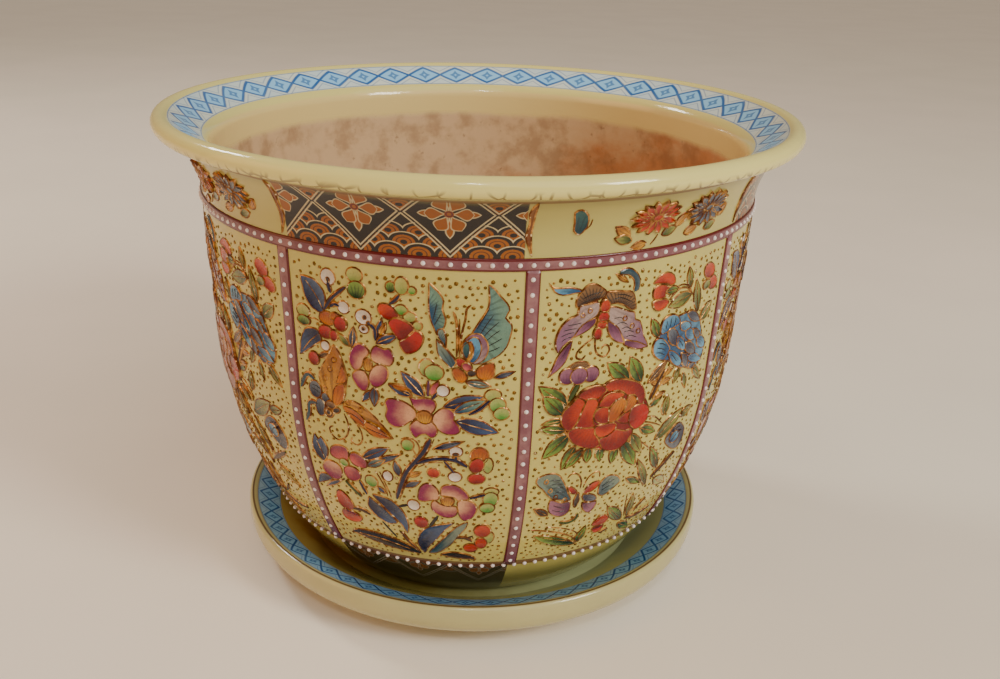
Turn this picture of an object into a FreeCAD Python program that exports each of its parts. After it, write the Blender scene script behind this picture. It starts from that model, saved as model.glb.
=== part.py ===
"""A glazed planter with a wide rolled lip and raised enamel trim, standing in its saucer.

Millimetres, +Z up. The origin is under the middle of the saucer, on the surface it stands on.
The panel that faces -Y lies midway between two of the eight upright enamel bands.
"""
import FreeCAD, Part
import Sketcher
import math
import os

# Each driving size: its name and its value in millimetres, or in degrees for an angle.
SIZES = (
    # Pot, outside, from the foot up.
    ("belt_radius", "131"),
    ("belly_inset", "2.8"),
    ("low_line_inset", "22"),
    ("foot_inset", "24.2"),
    ("foot_zone_height", "31.7"),
    ("lower_wall_height", "84.3"),
    ("upper_wall_height", "67.7"),
    ("belt_width", "5.2"),
    ("neck_height", "30.3"),
    # Lip: a rolled bead, a flange that slopes inwards and a rounded throat.
    ("lip_overhang", "19"),
    ("lip_bead_radius", "4.1"),
    ("lip_under_angle", "40"),
    ("flange_width", "13.8"),
    ("flange_drop", "8.4"),
    ("throat_rounding", "8"),
    # Pot, inside and underneath.
    ("wall_thickness", "8"),
    ("lower_wall_thickness", "10"),
    ("floor_thickness", "9"),
    ("floor_corner_inset", "8"),
    ("foot_ring_width", "8.5"),
    ("foot_recess", "4"),
    ("drain_hole_radius", "10"),
    # Saucer, from the well outwards, then down its side to its foot ring.
    ("well_clearance", "6"),
    ("well_slope_width", "17.1"),
    ("well_slope_rise", "11.2"),
    ("band_slope_width", "10.5"),
    ("band_slope_rise", "4.9"),
    ("rim_land_width", "2.4"),
    ("rim_land_rise", "1.4"),
    ("saucer_rim_rounding", "2.3"),
    ("saucer_side_height", "4.2"),
    ("saucer_side_inset", "8.3"),
    ("saucer_side_drop", "11"),
    ("saucer_under_width", "19.5"),
    ("saucer_floor_thickness", "6.8"),
    ("saucer_foot_height", "3.2"),
    ("saucer_foot_splay", "1.5"),
    ("saucer_foot_ring_width", "7"),
    # Raised enamel: the mauve bands and the white beads on them.
    ("enamel_thickness", "0.5"),
    ("flower_clearance", "0.05"),
    ("panel_band_width", "5.9"),
    ("bead_radius", "0.95"),
)

# Sizes that follow from the driving ones. The pot's heights are above its own foot.
WORKED = (
    ("belly_radius", "=belt_radius - belly_inset"),
    ("low_line_radius", "=belly_radius - low_line_inset"),
    ("foot_radius", "=low_line_radius - foot_inset"),
    ("low_line_height", "=foot_zone_height"),
    ("belly_height", "=low_line_height + lower_wall_height"),
    ("belt_top_height", "=belly_height + upper_wall_height"),
    ("belt_foot_height", "=belt_top_height - belt_width"),
    ("wall_lean", "=belly_inset / upper_wall_height"),
    ("belt_foot_radius", "=belt_radius - belt_width * wall_lean"),
    ("lip_radius", "=belt_radius + lip_overhang"),
    ("lip_height", "=belt_top_height + neck_height"),
    ("lip_crest_radius", "=lip_radius - lip_bead_radius * (1 + cos(lip_under_angle))"),
    ("lip_crest_height", "=lip_height + lip_bead_radius * sin(lip_under_angle)"),
    ("lip_under_height", "=lip_height - lip_bead_radius * sin(lip_under_angle)"),
    ("throat_radius", "=lip_crest_radius - flange_width"),
    ("throat_height", "=lip_crest_height - flange_drop"),
    ("throat_wall_radius", "=throat_radius - throat_rounding / 2"),
    ("throat_wall_height", "=throat_height - throat_rounding"),
    ("inner_belly_radius", "=belly_radius - wall_thickness"),
    ("inner_low_radius", "=low_line_radius - lower_wall_thickness"),
    ("inner_floor_radius", "=foot_radius - floor_corner_inset"),
    ("floor_top_height", "=foot_recess + floor_thickness"),
    ("foot_inner_radius", "=foot_radius - foot_ring_width"),
    ("well_radius", "=foot_radius + well_clearance"),
    ("slope_inner_radius", "=well_radius + well_slope_width"),
    ("slope_outer_radius", "=slope_inner_radius + band_slope_width"),
    ("saucer_crest_radius", "=slope_outer_radius + rim_land_width"),
    ("saucer_radius", "=saucer_crest_radius + saucer_rim_rounding"),
    ("saucer_shoulder_radius", "=saucer_radius - saucer_side_inset"),
    ("saucer_foot_top_radius", "=saucer_shoulder_radius - saucer_under_width"),
    ("saucer_foot_radius", "=saucer_foot_top_radius - saucer_foot_splay"),
    ("saucer_foot_inner_radius", "=saucer_foot_radius - saucer_foot_ring_width"),
    ("well_floor_height", "=saucer_foot_height + saucer_floor_thickness"),
    ("slope_inner_height", "=well_floor_height + well_slope_rise"),
    ("slope_outer_height", "=slope_inner_height + band_slope_rise"),
    ("saucer_height", "=slope_outer_height + rim_land_rise"),
    ("saucer_rim_height", "=saucer_height - saucer_rim_rounding"),
    ("saucer_side_foot_height", "=saucer_rim_height - saucer_side_height"),
    ("saucer_shoulder_height", "=saucer_side_foot_height - saucer_side_drop"),
    ("raised_low_radius", "=low_line_radius + enamel_thickness"),
    ("raised_belly_radius", "=belly_radius + enamel_thickness"),
    ("raised_belt_foot_radius", "=belt_foot_radius + enamel_thickness"),
    ("raised_belt_radius", "=belt_radius + enamel_thickness"),
    ("panel_band_angle", "=panel_band_width / belt_radius * 180 deg / pi"),
)

PANELS = 8
BELT_BEAD_COUNT = 160
FOOT_BEAD_COUNT = 136
PANEL_BEAD_COUNT = 24
PANEL_PARTS_UP = 150
SHEET_ARC_STEPS = 6
SHEET_COLUMNS = 8

# The main raised flowers of the two panel designs, laid out flat: hundredths of a panel's turn across
# from its middle, and 150ths of its height up the wall. A leaf and a petal are a base, a tip and a
# width, an oval is a centre and its two half widths, and a wing is its corners in order.
BLOSSOM_PANEL_SHARES = (
    ("leaf", (-32, 126.5), (-41, 141), 8),
    ("leaf", (-31, 128), (-34.5, 139.5), 6),
    ("leaf", (-33.5, 117.5), (-44, 108), 8),
    ("leaf", (10, 96), (1, 106.5), 5),
    ("leaf", (4.5, 96), (-4.5, 100.5), 4),
    ("leaf", (18, 92.5), (32, 97), 4.5),
    ("leaf", (22.5, 86.5), (39, 81), 6.5),
    ("leaf", (-37.5, 56.5), (-42, 68), 5),
    ("leaf", (-18.5, 62.5), (-5, 70), 4.5),
    ("leaf", (-36, 48), (-45, 42), 5),
    ("leaf", (-1, 19), (-19.5, 41), 9),
    ("leaf", (3, 7), (-34, 12.5), 8),
    ("leaf", (5.5, 8), (22, 31), 11),
    ("leaf", (7.5, 9), (27, 32), 7),
    ("petal", (-27, 122), (-34, 126), 7),
    ("petal", (-28, 121), (-26, 128.5), 5),
    ("petal", (-26.5, 121.5), (-21.5, 124.5), 6),
    ("petal", (-27.5, 121), (-34.5, 117.5), 7),
    ("petal", (0.5, 128.5), (-8, 133.2), 6.2),
    ("petal", (5, 121), (-2, 127.5), 8),
    ("petal", (1, 118), (9, 122.5), 8),
    ("petal", (-13, 106), (-19.5, 114.5), 9.5),
    ("petal", (-11, 110), (-3, 113.5), 8),
    ("petal", (-13, 104), (-17, 96), 7.5),
    ("petal", (-11.5, 107.5), (-6, 100), 9),
    ("petal", (6, 87), (-6, 87), 13),
    ("petal", (13, 87), (23.5, 85.5), 11),
    ("petal", (9.5, 86), (9.5, 78), 11),
    ("oval", (9.5, 93), 5, 3.4),
    ("oval", (-20.5, 61), 4.3, 3.4),
    ("oval", (-24.5, 52.3), 4.3, 3.6),
    ("oval", (-35, 52.5), 5.2, 4.2),
    ("oval", (-29.5, 62), 4.7, 3.6),
    ("oval", (18, 39), 5.8, 4),
    ("oval", (27, 41), 4.6, 5.5),
    ("oval", (21, 50), 6, 4),
    ("oval", (10, 49.5), 5, 5),
    ("oval", (-32.5, 34), 4.3, 5.5),
    ("oval", (-31, 25), 5, 3.8),
    ("oval", (-28.7, 142.3), 3.3, 3.6),
    ("oval", (-16.3, 139), 4, 3.9),
    ("oval", (-17, 145), 3.3, 2.8),
    ("oval", (-14, 127.8), 3.4, 3.3),
    ("oval", (12.5, 108.7), 4.6, 4.2),
    ("oval", (39, 95), 3.3, 3),
    ("oval", (37, 51), 3.3, 2.9),
    ("oval", (36, 42), 3.6, 3),
    ("oval", (30.5, 65), 3, 4),
    ("oval", (34.5, 26.5), 4.2, 4.5),
    ("oval", (35, 19), 3.5, 4),
    ("oval", (29, 13.5), 4, 3),
    ("oval", (-38.5, 91), 3.6, 3.8),
    ("oval", (33.5, 109.3), 3.8, 3.2),
    ("wing", (-28, 113.5), (-24.3, 106), (-26, 99), (-29, 88), (-33, 91), (-35, 96), (-34, 103), (-31, 108)),
    ("wing", (-29.5, 89), (-26, 96), (-24, 104), (-22.8, 102), (-24, 92), (-26, 87.5)),
    ("wing", (-25, 86.5), (-20, 90), (-14, 87.5), (-3, 75.5), (-9, 75.5), (-15, 78.5), (-22, 82.5)),
    ("wing", (12, 145), (17, 140), (16.8, 134), (18.3, 130), (17.5, 120), (21, 111), (15, 117), (13, 127),
     (11.5, 139)),
    ("wing", (34, 145), (38.8, 139.5), (41.5, 134), (42.5, 124), (39.5, 117.5), (31, 112), (24.5, 114),
     (24, 119), (29.5, 128), (33.5, 135)),
)
PEONY_PANEL_SHARES = (
    ("leaf", (-34, 93), (-45, 102), 7),
    ("leaf", (-35.5, 87.5), (-42, 97), 8),
    ("leaf", (-35, 83.5), (-44, 82.5), 7),
    ("leaf", (-33, 79), (-43, 67), 8),
    ("leaf", (-28, 71), (-32.5, 60.5), 8),
    ("leaf", (-5, 69), (5, 53), 8),
    ("leaf", (0, 71), (8, 60), 6),
    ("leaf", (-6, 99.5), (-16, 108.5), 6),
    ("leaf", (0, 97), (-6, 109.5), 6.5),
    ("leaf", (24, 131), (12, 127.5), 5.5),
    ("leaf", (16, 65), (31, 75), 7),
    ("leaf", (16, 79), (19, 86), 5),
    ("leaf", (23, 45), (4, 68), 4),
    ("leaf", (-15, 8), (-40, 21), 8),
    ("leaf", (11, 17), (-1, 31), 6),
    ("petal", (-24, 86), (-35.5, 85), 13),
    ("petal", (-18, 80), (-29, 73), 12),
    ("petal", (-15, 79), (-8, 68), 13),
    ("petal", (-3, 81), (6, 77), 12),
    ("petal", (-4, 88), (3, 94), 12),
    ("petal", (-12, 93), (-11, 100.5), 15),
    ("petal", (-21, 92), (-28.5, 97.5), 10),
    ("petal", (-20, 84), (-27, 89), 10),
    ("oval", (-14.5, 84.5), 12, 11),
    ("petal", (14.5, 108), (5, 111), 10),
    ("petal", (17, 113), (11, 123), 11),
    ("petal", (17, 108), (22, 99), 8),
    ("petal", (20, 113), (26, 118.5), 7),
    ("petal", (24, 109), (31, 113), 6),
    ("oval", (19, 110.5), 5, 4),
    ("oval", (26, 105), 4, 3.6),
    ("oval", (32, 100), 4.4, 4.4),
    ("oval", (-34, 105), 3.6, 3.6),
    ("oval", (-26.5, 105), 6, 3.6),
    ("oval", (6.5, 136), 5, 6),
    ("oval", (36, 138.5), 4.5, 3.5),
    ("oval", (39.5, 132.5), 4.2, 3),
    ("oval", (31, 58.5), 6, 5.5),
    ("oval", (-3.5, 20), 4.3, 4.6),
    ("wing", (-31.5, 135), (-31, 141), (-27.5, 143.5), (-21, 140), (-15, 140), (-7.5, 138), (-7, 131), (-13, 133.5),
     (-21, 136)),
    ("wing", (-31, 135), (-23, 135), (-24, 129), (-29.5, 124), (-35, 114), (-42, 105), (-40, 121), (-38.5, 126),
     (-33, 131)),
    ("wing", (-18.5, 132.5), (-12, 132), (-6.5, 129), (-3, 124), (1.5, 112.5), (-10, 115.5), (-15.5, 120),
     (-18.5, 126)),
    ("wing", (-43, 55), (-37, 58.8), (-30, 51.5), (-25.5, 42), (-34, 43.5), (-40, 51)),
    ("wing", (-35, 43), (-26, 41), (-25, 37), (-31, 32.5), (-36, 40)),
    ("wing", (-12, 50), (-2, 49), (-1, 46), (-9, 40.5), (-20, 37.5), (-20, 43)),
    ("oval", (-22.5, 41), 1.6, 5),
)

doc = FreeCAD.newDocument("planter")
sheet = doc.addObject("Spreadsheet::Sheet", "sizes")
for row, (name, content) in enumerate(SIZES + WORKED, start=1):
    sheet.set("A%d" % row, name)
    sheet.set("B%d" % row, content)
    sheet.setAlias("B%d" % row, name)
doc.recompute()


def size(name):
    """The number that a name stands for in the sheet, or zero for no name."""
    if name is None:
        return 0.0
    value = sheet.get(name)
    return float(getattr(value, "Value", value))


def origin_plane(body, role):
    """One of the body's own origin planes."""
    return next(item for item in body.Origin.OriginFeatures if item.Role == role)


def new_body(name):
    """An empty sub-part with its own name."""
    body = doc.addObject("PartDesign::Body", name)
    body.Label = name
    return body


def hold(sketch, geometry, point, axis, name):
    """Ties one coordinate of a point to the sheet, or to the axis where it has no name."""
    if name is None:
        line = -2 if axis == "DistanceX" else -1
        sketch.addConstraint(Sketcher.Constraint("PointOnObject", geometry, point, line))
        return
    index = sketch.addConstraint(Sketcher.Constraint(axis, -1, 1, geometry, point, size(name)))
    sketch.setExpression("Constraints[%d]" % index, "sizes.%s" % name)


def outline(body, name, corners):
    """A closed outline in the body's upright plane.

    Each corner is (radius name, height name, edge), where the edge leads to the next corner. An
    edge is None for a straight line, or (bulge share, rule) for an arc: the share is its first
    guess of rise over chord, outwards from a walk with the clay on the left, and the rule is
    "before" or "after" for the edge that it runs smoothly into, or the name of its centre's height.
    """
    sketch = body.newObject("Sketcher::SketchObject", name)
    sketch.AttachmentSupport = (origin_plane(body, "XZ_Plane"), [""])
    sketch.MapMode = "FlatFace"
    points = [FreeCAD.Vector(size(across), size(up), 0) for across, up, edge in corners]
    ends = []
    smooth = set()
    for number, (across, up, edge) in enumerate(corners):
        start = points[number]
        stop = points[(number + 1) % len(points)]
        if edge is None:
            ends.append((sketch.addGeometry(Part.LineSegment(start, stop), False), 1, 2))
            continue
        bulge_share, rule = edge
        outwards = (stop - start).cross(FreeCAD.Vector(0, 0, 1))
        middle = (start + stop) / 2 + outwards * bulge_share
        arc = sketch.addGeometry(Part.Arc(start, middle, stop), False)
        first = sketch.getPoint(arc, 1)
        forwards = (first - start).Length < (first - stop).Length
        ends.append((arc, 1, 2) if forwards else (arc, 2, 1))
        if rule == "before":
            smooth.add(number)
        elif rule == "after":
            smooth.add((number + 1) % len(points))
        else:
            hold(sketch, arc, 3, "DistanceY", rule)
    for number, (across, up, edge) in enumerate(corners):
        geometry, start, stop = ends[number]
        before, before_start, before_stop = ends[number - 1]
        joint = "Tangent" if number in smooth else "Coincident"
        sketch.addConstraint(Sketcher.Constraint(joint, before, before_stop, geometry, start))
        hold(sketch, geometry, start, "DistanceX", across)
        hold(sketch, geometry, start, "DistanceY", up)
    doc.recompute()
    return sketch


def turn(body, sketch, angle_name=None):
    """The outline turned about the body's upright axis, all the way round unless an angle is named."""
    solid = body.newObject("PartDesign::Revolution", sketch.Label + "_turned")
    solid.Profile = (sketch, [""])
    solid.ReferenceAxis = (sketch, ["V_Axis"])
    if angle_name is None:
        solid.Angle = 360
    else:
        solid.Midplane = True
        solid.setExpression("Angle", "sizes.%s" % angle_name)
    doc.recompute()
    return solid


def stand_in_well(item, turned=0):
    """Stands a piece of the pot on the saucer's well floor, turned about the upright axis."""
    item.Placement = FreeCAD.Placement(
        FreeCAD.Vector(0, 0, size("well_floor_height")),
        FreeCAD.Rotation(FreeCAD.Vector(0, 0, 1), turned))
    item.setExpression("Placement.Base.z", "sizes.well_floor_height")


def make_saucer():
    """The saucer: a foot ring, a rounded side and rim, and a slope down to a flat well."""
    body = new_body("saucer")
    sketch = outline(body, "saucer_outline", (
        (None, "saucer_foot_height", None),
        ("saucer_foot_inner_radius", "saucer_foot_height", None),
        ("saucer_foot_inner_radius", None, None),
        ("saucer_foot_radius", None, None),
        ("saucer_foot_top_radius", "saucer_foot_height", None),
        ("saucer_shoulder_radius", "saucer_shoulder_height", (0.15, "after")),
        ("saucer_radius", "saucer_side_foot_height", None),
        ("saucer_radius", "saucer_rim_height", (0.2, "saucer_rim_height")),
        ("saucer_crest_radius", "saucer_height", None),
        ("slope_outer_radius", "slope_outer_height", None),
        ("slope_inner_radius", "slope_inner_height", None),
        ("well_radius", "well_floor_height", None),
        (None, "well_floor_height", None),
    ))
    turn(body, sketch)
    return body


def make_pot():
    """The pot: a foot ring, a bellied wall, a flared neck, a rolled lip and a drain hole."""
    body = new_body("cachepot")
    sketch = outline(body, "pot_outline", (
        (None, "foot_recess", None),
        ("foot_inner_radius", "foot_recess", None),
        ("foot_inner_radius", None, None),
        ("foot_radius", None, (0.1, "after")),
        ("low_line_radius", "low_line_height", (0.1, "after")),
        ("belly_radius", "belly_height", None),
        ("belt_radius", "belt_top_height", (-0.1, "before")),
        ("lip_crest_radius", "lip_under_height", (0.35, "lip_height")),
        ("lip_radius", "lip_height", (0.35, "lip_height")),
        ("lip_crest_radius", "lip_crest_height", None),
        ("throat_radius", "throat_height", (0.15, "before")),
        ("throat_wall_radius", "throat_wall_height", None),
        ("inner_belly_radius", "belly_height", (-0.1, "before")),
        ("inner_low_radius", "low_line_height", (-0.1, "before")),
        ("inner_floor_radius", "floor_top_height", None),
        (None, "floor_top_height", None),
    ))
    vessel = turn(body, sketch)
    hole = body.newObject("Sketcher::SketchObject", "drain_hole_outline")
    hole.AttachmentSupport = (origin_plane(body, "XY_Plane"), [""])
    hole.MapMode = "FlatFace"
    centre = FreeCAD.Vector(0, 0, 0)
    up = FreeCAD.Vector(0, 0, 1)
    circle = hole.addGeometry(Part.Circle(centre, up, size("drain_hole_radius")), False)
    hole.addConstraint(Sketcher.Constraint("Coincident", circle, 3, -1, 1))
    index = hole.addConstraint(Sketcher.Constraint("Radius", circle, size("drain_hole_radius")))
    hole.setExpression("Constraints[%d]" % index, "sizes.drain_hole_radius")
    drain = body.newObject("PartDesign::Pocket", "drain_hole")
    drain.Profile = (hole, [""])
    drain.Type = "ThroughAll"
    drain.Midplane = True
    doc.recompute()
    body.Tip = drain
    removed = vessel.Shape.Volume - drain.Shape.Volume
    expected = math.pi * size("drain_hole_radius") ** 2 * size("floor_thickness")
    if abs(removed - expected) > expected / 1000:
        raise ValueError("the drain hole took %g instead of %g" % (removed, expected))
    stand_in_well(body)
    return body


def make_belt_band():
    """The raised mauve belt under the neck."""
    body = new_body("belt_band")
    sketch = outline(body, "belt_outline", (
        ("belt_foot_radius", "belt_foot_height", None),
        ("raised_belt_foot_radius", "belt_foot_height", None),
        ("raised_belt_radius", "belt_top_height", None),
        ("belt_radius", "belt_top_height", None),
    ))
    turn(body, sketch)
    stand_in_well(body)
    return body


def make_panel_band(number):
    """One raised mauve band, down the wall from the belt to the low line."""
    body = new_body("panel_band_%d" % (number + 1))
    sketch = outline(body, "band_outline_%d" % (number + 1), (
        ("low_line_radius", "low_line_height", None),
        ("raised_low_radius", "low_line_height", (0.1, "after")),
        ("raised_belly_radius", "belly_height", None),
        ("raised_belt_foot_radius", "belt_foot_height", None),
        ("belt_foot_radius", "belt_foot_height", None),
        ("belly_radius", "belly_height", (-0.1, "before")),
    ))
    turn(body, sketch, "panel_band_angle")
    stand_in_well(body, band_turn(number))
    return body, sketch


def band_turn(number):
    """How far a band is turned from +X, so that a whole panel faces -Y."""
    step = 360 / PANELS
    return -90 + step / 2 + number * step


def row_places(sketch, count):
    """Points and outward directions evenly spaced down the raised face of a band's outline."""
    arc, straight = sketch.Geometry[1], sketch.Geometry[2]
    face = Part.Wire([arc.toShape(), straight.toShape()])
    points = face.discretize(Number=2 * count + 1)
    if points[0].y < points[-1].y:
        points.reverse()
    places = []
    for index in range(1, 2 * count, 2):
        down = (points[index + 1] - points[index - 1]).normalize()
        place = FreeCAD.Vector(points[index].x, 0, points[index].y)
        places.append((place, FreeCAD.Vector(-down.y, 0, down.x)))
    return places


def bead(place, outwards):
    """One enamel dot: a half ball with its flat side on the band."""
    return Part.makeSphere(size("bead_radius"), place, outwards, 0, 90, 360)


def ring_of_beads(place, outwards, count):
    """Equal dots all round the pot from the first one."""
    first = bead(place, outwards)
    beads = []
    for index in range(count):
        copy = first.copy()
        copy.rotate(FreeCAD.Vector(0, 0, 0), FreeCAD.Vector(0, 0, 1), index * 360 / count)
        beads.append(copy)
    return beads


def group(name, solids):
    """A sub-part of many equal separate solids."""
    item = doc.addObject("Part::Feature", name)
    item.Label = name
    item.Shape = Part.Compound(solids)
    stand_in_well(item)
    return item


def make_belt_beads():
    """The white dots round the belt."""
    across = (size("raised_belt_radius") + size("raised_belt_foot_radius")) / 2
    up = size("belt_top_height") - size("belt_width") / 2
    outwards = FreeCAD.Vector(1, 0, -size("wall_lean")).normalize()
    return group("belt_beads", ring_of_beads(FreeCAD.Vector(across, 0, up), outwards, BELT_BEAD_COUNT))


def make_foot_beads(sketch):
    """The white dots round the low line, square to the wall there."""
    low = min(row_places(sketch, PANEL_BEAD_COUNT), key=lambda place: place[0].z)
    across = size("low_line_radius")
    up = size("low_line_height") - size("bead_radius") - size("enamel_thickness")
    across = across + (up - size("low_line_height")) * -low[1].z / low[1].x
    place = FreeCAD.Vector(across, 0, up)
    return group("foot_beads", ring_of_beads(place, low[1], FOOT_BEAD_COUNT))


def make_panel_beads(sketch):
    """The white dots down the middle of each upright band."""
    beads = []
    places = row_places(sketch, PANEL_BEAD_COUNT)
    for number in range(PANELS):
        for place, outwards in places:
            dot = bead(place, outwards)
            dot.rotate(FreeCAD.Vector(0, 0, 0), FreeCAD.Vector(0, 0, 1), band_turn(number))
            beads.append(dot)
    return group("panel_beads", beads)


def facet(*corners):
    """A flat face with those corners."""
    return Part.Face(Part.makePolygon([*corners, corners[0]]))


def wall_line(lower, upper, count):
    """Radius and height at even steps up a panel's wall, from the low line to the belt."""
    points = Part.Wire([lower.toShape(), upper.toShape()]).discretize(Number=count + 1)
    return sorted(points, key=lambda point: point.y)


def sheet_line(lower, upper):
    """Radius and height of the bends of a faceted line laid on the outside of a panel's wall."""
    step = (lower.LastParameter - lower.FirstParameter) / SHEET_ARC_STEPS
    ends = [lower.value(lower.FirstParameter), lower.value(lower.LastParameter)]
    bends = [lower.value(lower.FirstParameter + (index + 0.5) * step) for index in range(SHEET_ARC_STEPS)]
    bends = [lower.Center + (spot - lower.Center) / math.cos(step / 2) for spot in bends]
    top = max(upper.StartPoint, upper.EndPoint, key=lambda point: point.y)
    return sorted([*ends, *bends, top], key=lambda point: point.y)


def panel_sheet(sketch):
    """A faceted sheet of enamel over the whole of the panel that faces the front, just clear of its wall."""
    lines = sketch.Geometry
    step = math.radians(360 / PANELS / SHEET_COLUMNS)
    turns = [step * (column - SHEET_COLUMNS / 2) for column in range(SHEET_COLUMNS + 1)]
    layers = []
    for lower, upper in ((lines[5], lines[4]), (lines[1], lines[2])):
        layer = []
        for spot in sheet_line(lower, upper):
            radius = (spot.x + size("flower_clearance")) / math.cos(step / 2)
            layer.append([FreeCAD.Vector(radius * math.sin(turn), -radius * math.cos(turn), spot.y) for turn in turns])
        layers.append(layer)
    inner, outer = layers
    last = len(inner) - 1
    faces = []
    for layer in layers:
        for row in range(last):
            for column in range(SHEET_COLUMNS):
                faces.append(facet(layer[row][column], layer[row][column + 1], layer[row + 1][column + 1],
                                   layer[row + 1][column]))
    for row in range(last):
        for column in (0, SHEET_COLUMNS):
            faces.append(facet(inner[row][column], inner[row + 1][column], outer[row + 1][column],
                               outer[row][column]))
    for row in (0, last):
        for column in range(SHEET_COLUMNS):
            faces.append(facet(inner[row][column], inner[row][column + 1], outer[row][column + 1],
                               outer[row][column]))
    return Part.Solid(Part.Shell(faces))


def flat_shape(walls, kind, *shares):
    """The face of one raised shape, seen square to its panel from the front."""
    if kind == "oval":
        (across, up), wide, high = shares
        corners = [(across + wide * math.cos(turn), up + high * math.sin(turn))
                   for turn in [math.tau * index / 8 for index in range(8)]]
    elif kind == "wing":
        corners = shares
    else:
        base, tip, width = shares
        along = (tip[0] - base[0], tip[1] - base[1])
        side_share = width / 2 / math.hypot(*along)
        aside = (-along[1] * side_share, along[0] * side_share)
        half_shares = {"leaf": ((0.3, 0.85), (0.6, 0.9)), "petal": ((0.35, 0.75), (0.75, 1), (1, 0.45))}[kind]
        spots = [(0, 0), *half_shares]
        if kind == "leaf":
            spots.append((1, 0))
        spots += [(out, -side) for out, side in reversed(half_shares)]
        corners = [(base[0] + along[0] * out + aside[0] * side, base[1] + along[1] * out + aside[1] * side)
                   for out, side in spots]
    places = []
    for across, up in corners:
        row = min(int(up), PANEL_PARTS_UP - 1)
        spot = walls[row] + (walls[row + 1] - walls[row]) * (up - row)
        places.append(FreeCAD.Vector(spot.x * math.sin(math.radians(across / 100 * 360 / PANELS)), 0, spot.y))
    return facet(*places)


def panel_relief(sketch, shares):
    """The raised flowers of one panel that faces the front: low pads that follow the wall."""
    lines = sketch.Geometry
    walls = wall_line(lines[1], lines[2], PANEL_PARTS_UP)
    faces = [flat_shape(walls, *values) for values in shares]
    joined = faces[0].multiFuse(faces[1:]).removeSplitter()
    depth = FreeCAD.Vector(0, -size("lip_radius"), 0)
    crumb = size("bead_radius") ** 2
    prisms = Part.Compound([face.extrude(depth) for face in joined.Faces if face.Area > crumb])
    return panel_sheet(sketch).common(prisms).Solids


def make_raised_flowers(sketch):
    """The raised flowers of each panel, the two designs taking turns round the pot."""
    designs = [panel_relief(sketch, BLOSSOM_PANEL_SHARES), panel_relief(sketch, PEONY_PANEL_SHARES)]
    items = []
    for number in range(PANELS):
        item = doc.addObject("Part::Feature", "raised_flowers_%d" % (number + 1))
        item.Label = item.Name
        item.Shape = Part.Compound([solid.copy() for solid in designs[number % len(designs)]])
        stand_in_well(item, number * 360 / PANELS)
        items.append(item)
    return items


def main():
    """Builds every sub-part, checks it and writes it out."""
    pieces = [make_saucer(), make_pot(), make_belt_band()]
    for number in range(PANELS):
        body, sketch = make_panel_band(number)
        pieces.append(body)
    pieces.append(make_belt_beads())
    pieces.append(make_foot_beads(sketch))
    pieces.append(make_panel_beads(sketch))
    pieces += make_raised_flowers(sketch)
    doc.recompute()
    for item in doc.Objects:
        if "Invalid" in item.State or "Error" in item.State:
            raise ValueError("%s failed: %s" % (item.Label, item.State))
        if item.isDerivedFrom("Sketcher::SketchObject") and not item.FullyConstrained:
            raise ValueError("%s isn't fully constrained" % item.Label)
    os.makedirs("parts", exist_ok=True)
    for piece in pieces:
        if piece.Shape.isNull() or not piece.Shape.isValid():
            raise ValueError("%s has no valid shape" % piece.Label)
        piece.Shape.exportStep("parts/%s.step" % piece.Label)
        box = piece.Shape.BoundBox
        print(piece.Label, len(piece.Shape.Solids), "solids", round(piece.Shape.Volume), "mm3",
              "z %.2f to %.2f" % (box.ZMin, box.ZMax), "x %.2f to %.2f" % (box.XMin, box.XMax))


main()
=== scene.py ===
"""A glazed planter in its saucer: smooth turned pieces, painted ornament and raised enamel flowers."""
import functools
import math
import random

import bmesh
import bpy
from mathutils import Matrix, Vector
from mathutils.geometry import intersect_point_line
from mathutils.kdtree import KDTree


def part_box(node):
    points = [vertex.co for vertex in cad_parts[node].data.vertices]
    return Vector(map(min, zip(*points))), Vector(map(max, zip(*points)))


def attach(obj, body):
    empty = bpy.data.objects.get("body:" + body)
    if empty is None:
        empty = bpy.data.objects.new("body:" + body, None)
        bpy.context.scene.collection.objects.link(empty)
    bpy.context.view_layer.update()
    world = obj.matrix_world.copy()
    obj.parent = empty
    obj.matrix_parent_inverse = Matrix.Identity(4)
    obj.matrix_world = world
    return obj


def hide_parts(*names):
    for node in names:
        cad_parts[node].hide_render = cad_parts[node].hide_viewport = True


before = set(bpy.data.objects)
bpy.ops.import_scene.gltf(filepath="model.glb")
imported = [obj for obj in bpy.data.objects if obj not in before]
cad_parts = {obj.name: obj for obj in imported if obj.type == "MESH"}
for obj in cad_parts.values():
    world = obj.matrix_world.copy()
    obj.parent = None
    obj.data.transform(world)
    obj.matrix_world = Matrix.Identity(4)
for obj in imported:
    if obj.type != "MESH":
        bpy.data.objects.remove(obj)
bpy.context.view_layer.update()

bl_info = {
    "name": "Enamelled planter",
    "version": (1, 0, 0),
    "blender": (4, 5, 0),
    "location": "3D View > Sidebar > Planter",
    "description": "Dresses a glazed planter and its saucer with painted bands and raised enamel flowers",
    "category": "Add Mesh",
}

MM = 0.001
PANELS = 8
PANEL_TURN = math.tau / PANELS
SENSOR_WIDTH = 36
BLACK = (0, 0, 0, 1)

# Turned pieces: steps round, the angle from which a corner is softened, and bends and lengths that count as
# nothing.
ROUND_STEPS = 192
SHARP_CORNER = math.radians(24)
NO_CORNER = math.radians(0.4)
NO_LENGTH = 0.01 * MM
SAME_POINT = 0.001 * MM

# In millimetres: radius and height where the pot's outside wall starts, and the top of the bare clay inside.
WALL_START = (82, 10)
BISCUIT_HEIGHT = 201.5

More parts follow.
